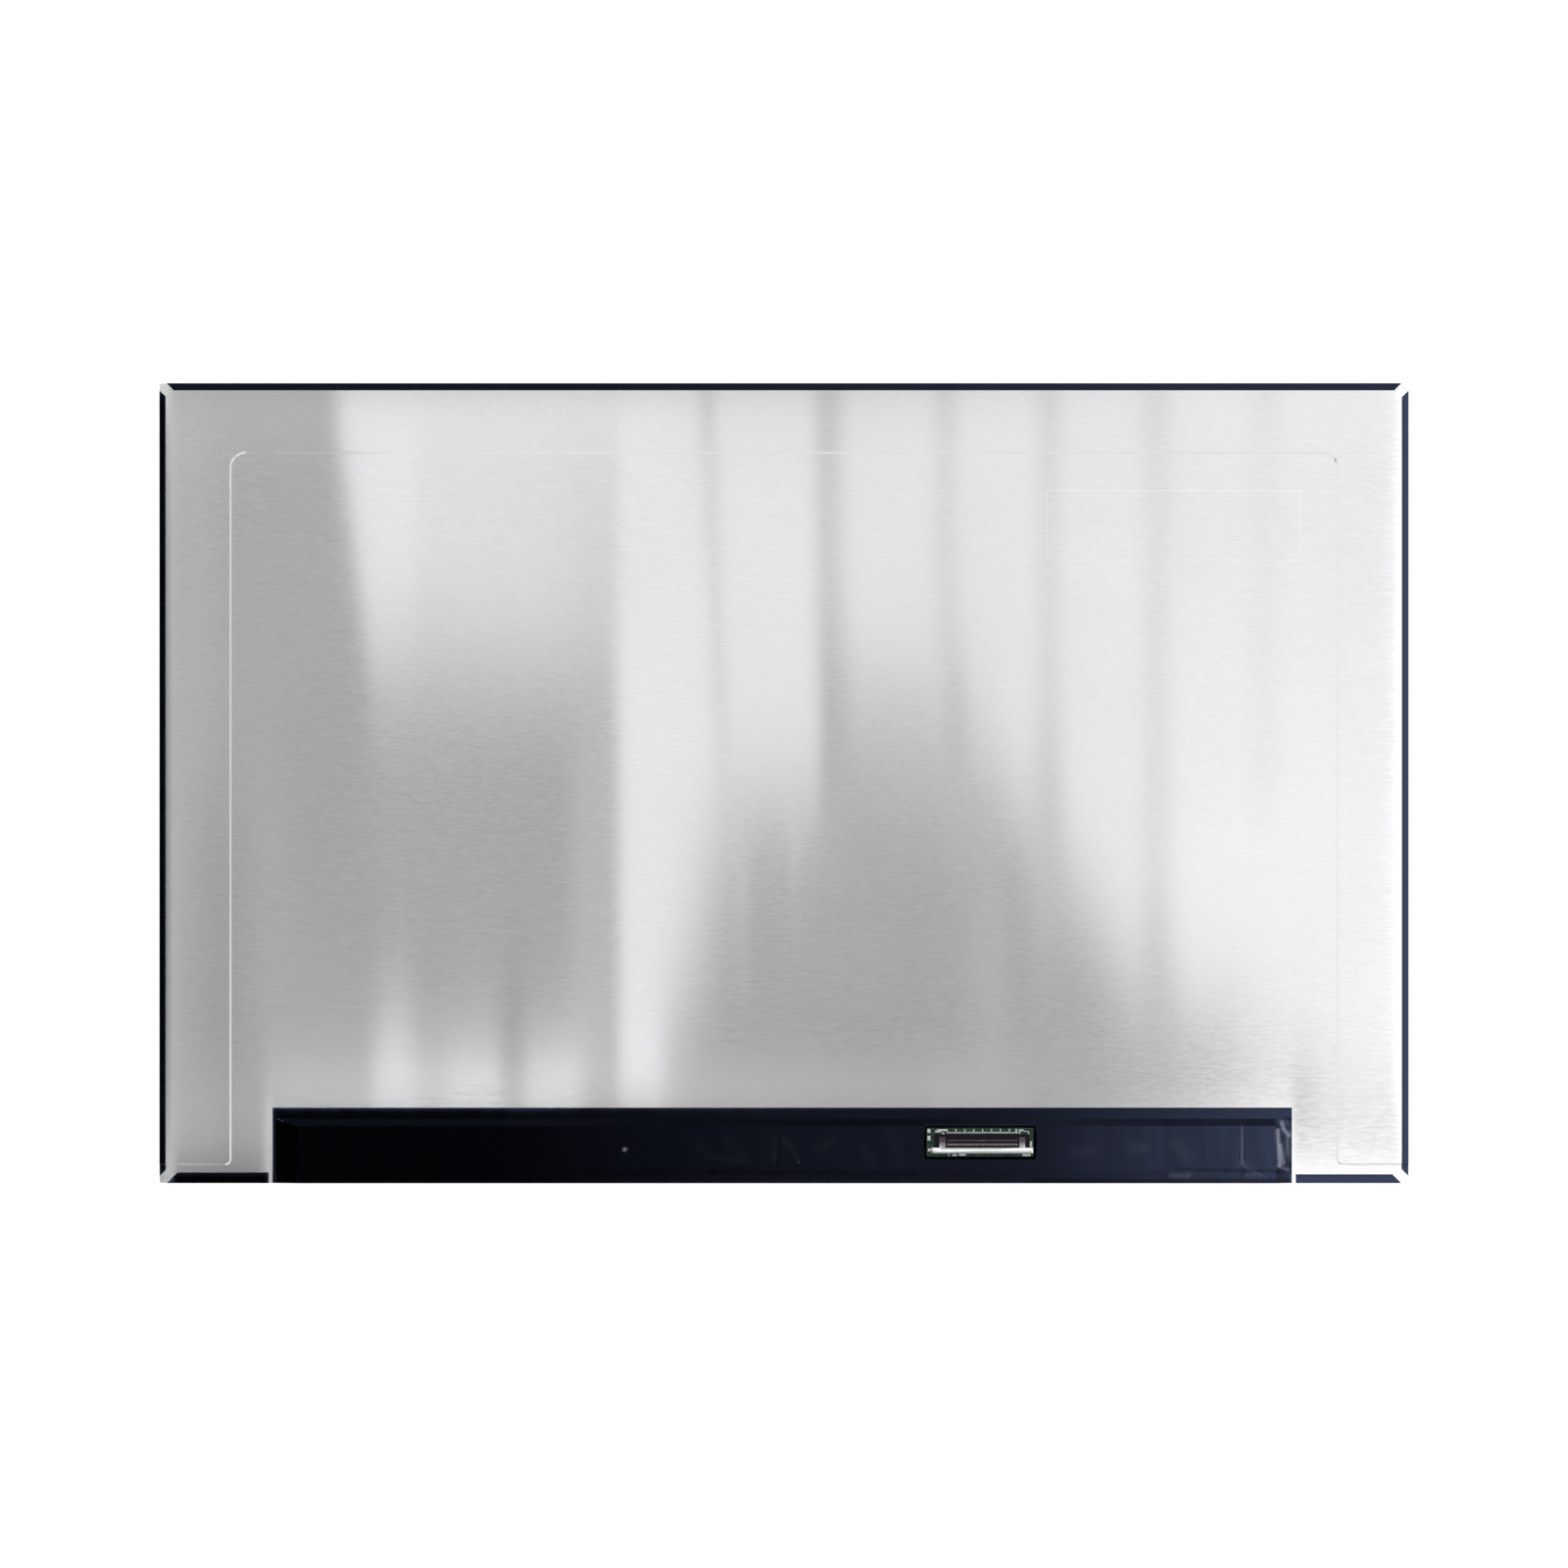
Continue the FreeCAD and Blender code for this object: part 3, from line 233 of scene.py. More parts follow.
def build_streaks(name):
    """Long fine lines: noise drawn out along one axis."""
    group = Group(name, {"Place": "Vector", "Density": "Vector", "Detail": "Float"}, {"Height": "Float"})
    drawn = group.vector("MULTIPLY", group.enter["Place"], group.enter["Density"])
    lines = group.add("TexNoise", {"Vector": drawn, "Scale": 1.0, "Detail": group.enter["Detail"]})
    group.feed(group.leave["Height"], lines["Fac"])
    return group.tree


def build_mottle(name):
    """A colour that drifts lighter and darker over the surface."""
    group = Group(name, {"Place": "Vector", "Tone": "Color", "Density": "Float", "Contrast": "Float"},
                  {"Tone": "Color", "Height": "Float"})
    enter = group.enter
    cloud = group.add("TexNoise", {"Vector": enter["Place"], "Scale": enter["Density"], "Detail": 4.0})["Fac"]
    low = group.math("SUBTRACT", 1.0, enter["Contrast"])
    high = group.math("ADD", 1.0, enter["Contrast"])
    group.feed(group.leave["Tone"], group.scaled(enter["Tone"], group.ramp(cloud, 0.25, 0.75, low, high)))
    group.feed(group.leave["Height"], cloud)
    return group.tree


def build_specks(name):
    """Sparse small spots, such as dust or pits."""
    group = Group(name, {"Place": "Vector", "Density": "Float", "Size": "Float"}, {"Mask": "Float"})
    enter = group.enter
    cells = group.add("TexVoronoi", {"Vector": enter["Place"], "Scale": enter["Density"], "Randomness": 1.0})
    inside = group.math("LESS_THAN", cells["Distance"], enter["Size"])
    rare = group.math("GREATER_THAN", group.add("SeparateColor", {0: cells["Color"]})[0], 0.8)
    group.feed(group.leave["Mask"], group.math("MULTIPLY", inside, rare))
    return group.tree


def build_ribs(name):
    """Even ribs across one axis: their height, and a mask of the given share of each."""
    group = Group(name, {"Along": "Float", "Pitch": "Float", "Share": "Float"},
                  {"Height": "Float", "Mask": "Float"})
    turns = group.math("DIVIDE", group.enter["Along"], group.enter["Pitch"])
    group.feed(group.leave["Height"], group.math("MULTIPLY", group.math("PINGPONG", turns, 0.5), 2.0))
    group.feed(group.leave["Mask"], group.math("LESS_THAN", group.math("FRACT", turns), group.enter["Share"]))
    return group.tree


def build_outline(name):
    """Outline of an upright rectangle; one with no width is a line."""
    group = Group(name, {"Place": "Vector", "Centre": "Vector", "Half": "Vector", "Width": "Float"},
                  {"Mask": "Float"})
    enter = group.enter
    away = group.vector("ABSOLUTE", group.vector("SUBTRACT", enter["Place"], enter["Centre"]))
    past = group.vector("SUBTRACT", away, enter["Half"])
    gap = group.math("MAXIMUM", group.coordinate(past, "X"), group.coordinate(past, "Y"))
    group.feed(group.leave["Mask"], group.math("LESS_THAN", group.math("ABSOLUTE", gap), enter["Width"]))
    return group.tree


class Finish(Tree):
    """A new material with some constants, the inputs of its shader, and its place on the piece."""

    def __init__(self, name, constants=()):
        self.material = bpy.data.materials.new(name)
        self.material.use_nodes = True
        super().__init__(self.material.node_tree)
        self.inputs = self.tree.nodes["Principled BSDF"].inputs
        for socket, value in dict(constants).items():
            self.inputs[socket].default_value = value
        self.place = self.add("TexCoord")["Object"]

    def group(self, build, **values):
        """A shared group, with values of its own."""
        name = build.__name__.removeprefix("build_").capitalize()
        node = self.tree.nodes.new("ShaderNodeGroup")
        node.node_tree = bpy.data.node_groups.get(name) or build(name)
        for key, value in values.items():
            self.feed(node.inputs[key.capitalize()], value)
        return node.outputs

    def streaks(self, size, detail=1.0):
        """Fine lines of the given size along X, Y and Z."""
        density = [1 / side for side in size]
        return self.group(build_streaks, place=self.place, density=density, detail=detail)[0]

    def mottle(self, tone, density, contrast):
        """A drifting colour, and the cloud that it drifts with."""
        return self.group(build_mottle, place=self.place, tone=(*tone, 1), density=density, contrast=contrast)

    def specks(self, density, size):
        """A mask of sparse small spots."""
        return self.group(build_specks, place=self.place, density=density, size=size)[0]

    def ribs(self, axis, pitch, filled=0.5):
        """Height of even ribs across an axis, and a mask of the filled share of each."""
        return self.group(build_ribs, along=self.coordinate(self.place, axis), pitch=pitch, share=filled)

    def outline(self, centre, half, width):
        """A mask of a rectangle's outline."""
        return self.group(build_outline, place=self.place, centre=centre, half=half, width=width)[0]

    def noted(self, name):
        """A number that is kept in the mesh."""
        return self.add("Attribute", attribute_name=name)["Fac"]

    def paint(self, tone):
        """Colours the surface."""
        self.feed(self.inputs["Base Color"], tone)

    def polish(self, source, low, high):
        """Roughness that drifts between two values with a noise."""
        self.feed(self.inputs["Roughness"], self.ramp(source, 0.3, 0.7, low, high))

    def relief(self, height, depth, strength=1.0):
        """Relief of the given depth, over any that there is."""
        under = {"Normal": link.from_socket for link in self.inputs["Normal"].links}
        bump = self.add("Bump", {"Strength": strength, "Distance": depth, "Height": height, **under})
        self.feed(self.inputs["Normal"], bump[0])

    def glow(self, shader):
        """Puts another shader in place of the usual one."""
        self.tree.nodes.remove(self.tree.nodes["Principled BSDF"])
        self.feed(self.tree.nodes["Material Output"].inputs["Surface"], shader)


def dress(material, *nodes):
    """Gives solids their finish."""
    for name in nodes:
        for slot in NODES[name].material_slots:
            slot.material = material


# Finishes


# Centre and half size of the rectangle and the line that are scribed in the plate, which are painted white as
# a painted highlight, and the heights between which that highlight comes to show fully.
SCRIBED = (
    ((109.53 * MM, 72.4 * MM, 0), (35.65 * MM, 9.75 * MM, 0)),
    ((92.08 * MM, 45.15 * MM, 0), (0, 15.15 * MM, 0)),
)
SCRIBE_HIGHLIGHT_HEIGHTS = (40 * MM, 80 * MM)
WHITE = (1, 1, 1, 1)


def rolled_metal():
    """Bright sheet with fine rolling lines along X and long upright waves, and a painted white highlight on
    its scribed lines that fades towards the bottom.
    """
    metal = finishes().metal
    look = Finish("rolled_metal", {"Metallic": 1.0, "Anisotropic": metal.smear})
    lines = look.streaks((metal.grain_length, metal.grain_pitch, metal.grain_pitch), 4.0)
    wave_length = metal.wave_width / 0.18
    waves = look.streaks((metal.wave_width, wave_length, wave_length))
    toned, _ = look.mottle(metal.tone, 24.0, 0.02)
    grained = look.scaled(toned, look.ramp(lines, 0.25, 0.75, 0.96, 1.04))
    # Painted highlight: the scribed lines are painted white, fading towards the bottom.
    scribed = 0.0
    for centre, half in SCRIBED:
        scribed = look.math("MAXIMUM", scribed, look.outline(centre, half, metal.scribe_width / 2))
    strength = look.ramp(look.coordinate(look.place, "Y"), *SCRIBE_HIGHLIGHT_HEIGHTS, 0.3, 1.0)
    look.paint(look.blend(look.math("MULTIPLY", scribed, strength), grained, WHITE))
    look.polish(lines, metal.roughness - 0.015, metal.roughness + 0.015)
    look.relief(waves, metal.wave_depth)
    look.relief(lines, metal.grain_depth)
    look.feed(look.inputs["Tangent"], look.add("Tangent", direction_type="RADIAL", axis="X")[0])
    return look.material


def black_film():
    """Smooth black film with slate blue reflections and a little dust, with painted highlights and a dust
    speck where the mesh notes them, and its reflection turned down where its edge is pressed and, as painted
    shade, along its bottom fold.
    """
    tape = finishes().tape
    look = Finish("black_film", {"IOR": 1.65, "Specular Tint": (*tape.sheen, 1)})
    toned, cloud = look.mottle(tape.tone, 160.0, 0.3)
    # Painted highlights, and one dust speck, laid on the film from the mesh's notes.
    highlighted_and_dusty = look.blend(look.noted("highlight_and_dust"), toned, (*tape.scuff, 1))
    look.paint(look.blend(look.specks(170.0, 0.012), highlighted_and_dusty, (0.25, 0.25, 0.26, 1)))
    look.polish(cloud, tape.roughness - 0.008, tape.roughness + 0.008)
    # The edge note turns the film's reflection down round the opening's pressed edge, and as painted shade
    # along the bottom fold.
    look.feed(look.inputs["Specular IOR Level"], look.ramp(look.noted("edge"), 0.0, 1.0, 0.5, 0.02))
    return look.material


def mottled(name, tone, roughness, density=200.0, contrast=0.08, grain=0.0, metallic=0.0, gloss=0.5):
    """A plain finish with a slight drift of colour and gloss, and a grain of the given height."""
    look = Finish(name, {"Metallic": metallic, "Specular IOR Level": gloss})
    toned, cloud = look.mottle(tone, density, contrast)
    look.paint(toned)
    look.polish(cloud, 0.75 * roughness, 1.25 * roughness)
    if grain:
        look.relief(cloud, grain)
    return look.material


def green_mask():
    """Green lacquer over a board, lighter where copper tracks lie under it, with small open vias."""
    board = finishes().board
    look = Finish("green_mask")
    across = look.streaks((5 * MM, 0.45 * MM, MM))
    upright = look.streaks((0.5 * MM, 3 * MM, MM))
    tracks = look.ramp(look.math("MAXIMUM", across, upright), 0.56, 0.60, 0.0, 1.0)
    base, cloud = look.mottle(board.mask, 260.0, 0.25)
    masked = look.blend(tracks, base, (*board.track, 1))
    look.paint(look.blend(look.specks(420.0, 0.11), masked, (*board.tin, 1)))
    look.polish(cloud, 0.24, 0.36)
    look.relief(tracks, 0.03 * MM)
    return look.material


def tracked_film(name, film, metal, pitch, filled, roughness):
    """Flexible film with even metal tracks along Y that show through it."""
    look = Finish(name)
    height, mask = look.ribs("X", pitch, filled)
    toned, cloud = look.mottle(film, 300.0, 0.12)
    look.paint(look.blend(mask, toned, (*metal, 1)))
    look.polish(cloud, roughness - 0.06, roughness + 0.06)
    look.relief(height, 0.008 * MM)
    return look.material


def dark_screen():
    """Unlit screen: a near-black polariser with a fine anti-glare surface and a black border."""
    look = Finish("dark_screen")
    half = (POLARISER_HIGH - POLARISER_LOW) / 2
    border = look.outline((POLARISER_LOW + POLARISER_HIGH) / 2, half, 0.9 * MM)
    toned, _ = look.mottle((0.010, 0.010, 0.012), 30.0, 0.06)
    look.paint(look.blend(border, toned, (0.003, 0.003, 0.003, 1)))
    _, grain = look.mottle((1, 1, 1), 16000.0, 0.1)
    look.polish(grain, 0.26, 0.38)
    look.relief(grain, 0.002 * MM, 0.6)
    return look.material


def clear_sheet(name, tone, roughness, through, pitch=0.0, depth=0.0):
    """Clear glass or plastic, with fine parallel ribs along X where a pitch is given."""
    look = Finish(name, {"IOR": 1.5, "Transmission Weight": through})
    toned, cloud = look.mottle(tone, 40.0, 0.02)
    look.paint(toned)
    look.polish(cloud, 0.8 * roughness, 1.2 * roughness)
    if pitch:
        look.relief(look.ribs("Y", pitch)["Height"], depth)
    return look.material


def brushed(name, tone, tip, roughness, depth):
    """Pressed bright metal with short fine lines along X, with painted shade that darkens it towards the tips
    of the socket's arms.
    """
    look = Finish(name, {"Metallic": 1.0})
    lines = look.streaks((2 * MM, 0.06 * MM, 0.06 * MM), 3.0)
    toned, _ = look.mottle(tone, 500.0, 0.05)
    along = look.coordinate(look.place, "Y")
    # Painted shade that darkens the arms towards their tips.
    painted_shade = look.ramp(along, SHELL_TOP - 2.4 * MM, SHELL_TOP - 1.1 * MM, 0.0, 1.0)
    look.paint(look.blend(painted_shade, toned, (*tip, 1)))
    look.polish(lines, 0.75 * roughness, 1.25 * roughness)
    look.relief(lines, depth)
    return look.material


# Where the contact springs bend, away from which the springs are painted the moulding's dark colour as
# painted shade, and the painted highlight on those in the middle: its X and lowest Y.
SPRING_BENDS = (-100.05 * MM, -101.35 * MM)
HIGHLIGHT_X = 55.7 * MM
HIGHLIGHT_LOW = -100.7 * MM


def plated_spring():
    """Contact springs painted as dark as the moulding as painted shade, in their own colour where they bend,
    with a painted white highlight on those in the middle.
    """
    board = finishes().board
    look = Finish("plated_spring", {"Specular IOR Level": 0.2})
    across = look.coordinate(look.place, "X")
    along = look.coordinate(look.place, "Y")
    bends = 0.0
    for bend in SPRING_BENDS:
        near = look.ramp(look.apart(along, bend), 0.16 * MM, 0.34 * MM, 1.0, 0.0)
        bends = look.math("MAXIMUM", bends, near)
    middle = look.ramp(look.apart(across, HIGHLIGHT_X), 0.5 * MM, 1.0 * MM, 1.0, 0.0)
    painted_highlight = look.math("MULTIPLY", middle, look.math("GREATER_THAN", along, HIGHLIGHT_LOW))
    toned, cloud = look.mottle(board.spring, 900.0, 0.3)
    # Painted shade: the springs take the moulding's dark colour away from their bends; painted highlight: a
    # white spot on the middle springs.
    look.paint(look.blend(bends, (*board.moulding, 1), look.blend(painted_highlight, toned, WHITE)))
    look.polish(cloud, 0.4, 0.6)
    look.feed(look.inputs["Metallic"], look.math("MULTIPLY", bends, 0.4))
    return look.material


# Plain finishes: colour, roughness, density and contrast of the drift, height of the grain, and the pieces.
PLAIN = {
    "tacky_film": ((0.55, 0.50, 0.42), 0.5, 200, 0.08, 0, ["board_adhesive"]),
    "moulded_epoxy": ((0.012, 0.012, 0.013), 0.5, 2500, 0.2, 0.01 * MM, CHIPS + SIGNAL_CHIPS),
    "pressed_ferrite": ((0.035, 0.035, 0.04), 0.55, 1800, 0.25, 0.015 * MM, COILS),
    "tan_ceramic": ((0.36, 0.22, 0.11), 0.4, 1200, 0.12, 0, ["ceramic_capacitors"]),
    "black_glaze": ((0.012, 0.012, 0.014), 0.3, 1200, 0.15, 0, ["chip_resistors"]),
    "dark_film": ((0.02, 0.021, 0.021), 0.2, 60, 0.08, 0, ["rear_polariser"]),
    "milky_film": ((0.82, 0.82, 0.80), 0.6, 400, 0.03, 0, ["diffuser_sheet"]),
    "white_film": ((0.86, 0.86, 0.86), 0.5, 300, 0.02, 0, ["reflector_sheet"]),
    "black_moulding": ((0.014, 0.014, 0.015), 0.45, 1600, 0.15, 0.01 * MM, ["moulded_frame"]),
    "black_rim_tape": ((0.008, 0.008, 0.009), 0.6, 900, 0.2, 0, ["rim_tape"]),
    "yellow_resin": ((0.86, 0.76, 0.42), 0.45, 1500, 0.08, 0, ["lamps"]),
}


def dress_plain(*names):
    """Gives pieces their plain finishes."""
    for name in names:
        *look, nodes = PLAIN[name]
        dress(mottled(name, *look), *nodes)


# Modelling


def start(primitive, **settings):
    """Adds a primitive, with nothing else selected."""
    bpy.ops.object.select_all(action="DESELECT")
    primitive(**settings)
    return bpy.context.object


def block(low, high):
    """A box between two corners, with its place in its mesh."""
    piece = start(bpy.ops.mesh.primitive_cube_add, size=1, location=(Vector(low) + Vector(high)) / 2)
    piece.scale = Vector(high) - Vector(low)
    bpy.ops.object.transform_apply(location=True, rotation=True, scale=True)
    return piece


def in_edit(*steps):
    """Runs edit-mode operators on all of the active mesh."""
    bpy.ops.object.mode_set(mode="EDIT")
    bpy.ops.mesh.select_all(action="SELECT")
    for operator, settings in steps:
        operator(**settings)
    bpy.ops.object.mode_set(mode="OBJECT")


def modify(piece, kind, **settings):
    """Adds a modifier and applies it."""
    modifier = piece.modifiers.new(kind.lower(), kind)
    for key, value in settings.items():
        setattr(modifier, key, value)
    bpy.ops.object.modifier_apply(modifier=modifier.name)


def round_edges(width):
    """Rounds all edges of the active mesh."""
    in_edit((bpy.ops.mesh.bevel, {"offset": width, "segments": 2, "affect": "EDGES", "clamp_overlap": True}))


def repeat(piece, count, pitch):
    """Repeats a piece along X."""
    modify(piece, "ARRAY", count=count, use_relative_offset=False, use_constant_offset=True,
           constant_offset_displace=(pitch, 0, 0))


def join(pieces):
    """Makes several pieces one."""
    bpy.ops.object.select_all(action="DESELECT")
    for piece in pieces:
        piece.select_set(True)
    bpy.context.view_layer.objects.active = pieces[0]
    bpy.ops.object.join()
    return bpy.context.object


def settle(piece, name, material, slot, *nodes):
    """Names a finished piece, gives it its finish, ties it to the panel and hides the solids it stands for.
    """
    piece.name = name
    piece.data.name = name
    piece.data.materials.clear()
    piece.data.materials.append(material)
    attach(piece, BODY)
    if nodes:
        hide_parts(*nodes)


def eased_copy(node, width, segments=2):
    """A copy of a solid with its edges rounded."""
    mesh = NODES[node].data.copy()
    piece = bpy.data.objects.new(f"{node}_eased", mesh)
    bpy.context.scene.collection.objects.link(piece)
    bpy.ops.object.select_all(action="DESELECT")
    piece.select_set(True)
    bpy.context.view_layer.objects.active = piece
    in_edit((bpy.ops.mesh.remove_doubles, {"threshold": 1e-6}),
            (bpy.ops.mesh.dissolve_limited, {"angle_limit": math.radians(1)}))
    modify(piece, "BEVEL", width=width, segments=segments, limit_method="ANGLE", angle_limit=math.radians(40))
    bpy.ops.object.shade_smooth_by_angle(angle=math.radians(35))
    modify(piece, "WEIGHTED_NORMAL", keep_sharp=True)
    return piece


# Back plate and edge tapes


class PANEL_OT_metal_back(bpy.types.Operator):
    """Gives the back plate its rolled metal finish"""
    bl_idname = "display_panel.metal_back"
    bl_label = "Metal Back"

    def execute(self, context):
        dress(rolled_metal(), "back_plate")
        return {"FINISHED"}


class PANEL_OT_edge_tapes(bpy.types.Operator):
    """Gives the edge tapes their black film finish"""
    bl_idname = "display_panel.edge_tapes"
    bl_label = "Edge Tapes"

    def execute(self, context):
        dress(black_film(), *EDGE_TAPES)
        return {"FINISHED"}


# Cover film


def ease(value, low, high):
    """Eases from nought to one as value goes from low to high."""
    t = min(max((value - low) / (high - low), 0), 1)
    return t * t * (3 - 2 * t)


def slope(value, low, high):
    """Goes straight from nought to one as value goes from low to high."""
    return min(max((value - low) / (high - low), 0), 1)


def outside(x, y, low, high):
    """Distance of a point from a box seen from above."""
    return math.hypot(max(low.x - x, x - high.x, 0), max(low.y - y, y - high.y, 0))


# Creases of the film, in millimetres: ends of each line, half its width and its height.
CREASES = (
    ((-2.5, -99.3), (-2.5, -106.7), 0.7, -0.09),
    ((0.0, -99.8), (4.1, -105.6), 0.6, -0.05),
    ((106.0, -109.2), (142.0, -109.4), 0.6, 0.10),
    ((108.0, -110.0), (113.0, -109.8), 0.8, 0.16),
    ((129.5, -109.7), (132.0, -109.9), 0.8, 0.16),
)


# Painted highlights that lighten the film on its creases, facets and soft patches, with one dust speck among
# them, in the same order: ends, half width and strength.
HIGHLIGHTS_AND_DUST = (
    ((138.55, -97.4), (139.1, -107.2), 0.45, 0.85),
    ((139.3, -101.5), (140.1, -106.6), 0.5, 0.55),
    ((141.3, -99.5), (141.4, -104.5), 0.5, 0.22),
    ((139.7, -95.2), (140.1, -96.6), 0.45, 0.65),
    ((140.3, -97.2), (141.9, -99.0), 0.45, 0.75),
    ((138.6, -107.4), (141.6, -108.6), 0.35, 0.35),
    ((128.5, -97.2), (128.5, -106.2), 0.6, 0.05),
    ((128.0, -101.0), (128.4, -106.4), 1.3, 0.03),
    ((128.5, -106.2), (132.6, -109.4), 0.5, 0.09),
    ((108.6, -110.0), (113.4, -110.2), 0.7, 0.10),
    ((129.5, -109.9), (133.5, -110.3), 0.5, 0.07),
    ((82.0, -103.6), (86.0, -103.0), 1.6, 0.025),
    ((97.8, -102.0), (101.0, -102.2), 1.5, 0.03),
    ((110.0, -101.0), (112.5, -104.0), 1.8, 0.03),
    ((-44.7, -102.7), (-44.6, -102.7), 0.4, 1.0),
    ((-24.0, -101.5), (-21.5, -104.0), 1.0, 0.009),
    ((-20.0, -104.8), (-11.0, -106.0), 0.7, 0.010),
    ((-16.0, -99.5), (-11.5, -105.0), 1.8, 0.006),
    ((-2.2, -99.0), (-2.4, -106.0), 0.5, 0.020),
    ((0.4, -99.6), (4.0, -105.0), 0.7, 0.016),
    ((14.0, -99.8), (9.5, -102.5), 1.4, 0.009),
    ((22.0, -101.5), (25.0, -106.5), 1.2, 0.010),
    ((30.0, -98.6), (33.0, -106.0), 1.6, 0.010),
)


# Lines along the film's bottom fold whose reflection is turned down as painted shade, in the same order.
PAINTED_SHADE_LINES = (
    ((110.5, -108.3), (124.0, -108.6), 0.5, 0.4),
    ((124.0, -108.6), (141.0, -108.9), 0.45, 0.4),
    ((70.0, -111.7), (142.0, -111.7), 0.8, 0.5),
    ((-55.0, -109.6), (-20.0, -109.0), 0.9, 0.35),
    ((-20.0, -109.0), (36.0, -109.6), 0.9, 0.35),
    ((36.0, -109.6), (104.0, -109.4), 0.8, 0.18),
)


def strokes(lines, x, y):
    """Sum at a point of soft lines that are given in millimetres."""
    point = Vector((x / MM, y / MM))
    total = 0
    for start_at, end_at, width, height in lines:
        base, tip = Vector(start_at), Vector(end_at)
        along = (tip - base).normalized()
        run = min(max((point - base).dot(along), 0), (tip - base).length)
        gap = (point - base - along * run).length
        total += height * math.exp(-(gap / width) ** 2)
    return total


# How the cover film lies, in metres: its end slopes beside the board, the slope up from the bottom edge, the
# ends of the stretch that tall parts hold up, the stretch where bumps set in, and a step that leans below its
# corner.
LEFT_SLOPE = (BOARD_LOW.x - 4 * MM, BOARD_LOW.x + 2.3 * MM)
RIGHT_RIDGE = BOARD_HIGH.x + 0.3 * MM
RIGHT_FOOT = BOARD_HIGH.x + 4 * MM
BOTTOM_SLOPE = (COVER_LOW.y + 0.3 * MM, COVER_LOW.y + 5.8 * MM)
HELD_LEFT = (TALL_LEFT - 30 * MM, TALL_LEFT)
HELD_RIGHT = (75 * MM, 115 * MM)
BUMPS_START = (-60 * MM, 90 * MM)
STEP = (127.6 * MM, 129.4 * MM)
STEP_DROP = 0.18 * MM
STEP_CORNER = -106.3 * MM
STEP_LEAN = 1.5
# The film's face where it is pressed down round the opening, above the board.
PRESSED = 0.2 * MM
# Width of the film that is turned under the panel.
TURNED_UNDER = 3.93 * MM


def film_top(tape, x, y):
    """Highest face of the cover film over the plate, the board and its parts."""
    flange = FIELD + tape.thickness
    shelf = BOARD_HIGH.z + tape.shelf
    crest = COVER_HIGH.z
    held = ease(x, *HELD_LEFT) * (1 - ease(x, *HELD_RIGHT))
    carried = crest - tape.sag * (1 - 0.94 * held)
    bumps = noise.noise(Vector((x / (7 * MM), y / (24 * MM), 0.3)))
    bumps += 0.4 * noise.noise(Vector((x / (3.4 * MM), y / (20 * MM), 4.1)))
    free = ease(crest - carried, 0.02 * MM, 0.12 * MM)
    crease = strokes(CREASES, x, y) * MM
    carried += free * tape.crinkle * bumps * ease(x, *BUMPS_START) + crease * (free if crease > 0 else 1)
    carried -= STEP_DROP * ease(x - STEP_LEAN * max(0, STEP_CORNER - y), *STEP)
    carried = min(carried, crest)
    foot = BOARD_HIGH.y + tape.rise_start
    rise = slope(foot - y, 0, tape.rise)
    rise = min(rise, slope(x, *LEFT_SLOPE)) * end_fall(x, y)
    height = flange + rise * (shelf + slope(y, *BOTTOM_SLOPE) * (carried - shelf) - flange)
    pressed = 1 - slope(outside(x, y, *window_box(tape)), 0.05 * MM, tape.lip)
    return height + pressed * (BOARD_HIGH.z + PRESSED - height)


def end_fall(x, y):
    """Share of the film's height that is left beyond the board's right end, where it falls in two facets."""
    bend = RIGHT_RIDGE + 0.3 * MM + 2.2 * MM * slope(-y, 97 * MM, 107.5 * MM)
    level = 1 - 0.34 * (bend - RIGHT_RIDGE) / MM
    if x < bend:
        return 1 - (1 - level) * slope(x, RIGHT_RIDGE, bend)
    return level * (1 - slope(x, bend, RIGHT_FOOT))


def window_box(tape):
    """Corners of the opening over the socket, seen from above."""
    top = COVER_HIGH.y - tape.window_top
    return (Vector((tape.window_left, top - tape.window_height)),
            Vector((tape.window_left + tape.window_width, top)))


def stations(low, high, step, marks):
    """Places from low to high about a step apart, with some that have to be met."""
    places = [low]
    for mark in (*sorted(marks), high):
        count = max(round((mark - places[-1]) / step), 1)
        begin = places[-1]
        places.extend(begin + (mark - begin) * place / count for place in range(1, count + 1))
    return places


def film_lengths(tape):
    """Lengths of the film's face on the back, of one of its folds and of its face at the bottom edge."""
    return (COVER_HIGH.y - COVER_LOW.y - tape.fold, math.pi / 2 * tape.fold,
            COVER_HIGH.z - COVER_LOW.z - 2 * tape.fold)


def film_point(tape, x, travel):
    """A point of the film's outer face: travel runs down the back, round the bottom edge and under."""
    back, turn, tall = film_lengths(tape)
    fold = tape.fold
    if travel <= back:
        y = COVER_HIGH.y - travel
        return Vector((x, y, film_top(tape, x, y)))
    centre = COVER_LOW.y + fold
    crown = film_top(tape, x, centre)
    travel -= back
    if travel <= turn:
        angle = travel / fold
        return Vector((x, centre - fold * math.sin(angle), crown - fold * (1 - math.cos(angle))))
    part = (travel - turn) / tall
    if part <= 1:
        return Vector((x, COVER_LOW.y, crown - fold - (crown - COVER_LOW.z - 2 * fold) * part))
    travel -= turn + tall
    if travel <= turn:
        angle = travel / fold
        return Vector((x, centre - fold * math.cos(angle), COVER_LOW.z + fold * (1 - math.sin(angle))))
    return Vector((x, centre + travel - turn, COVER_LOW.z))


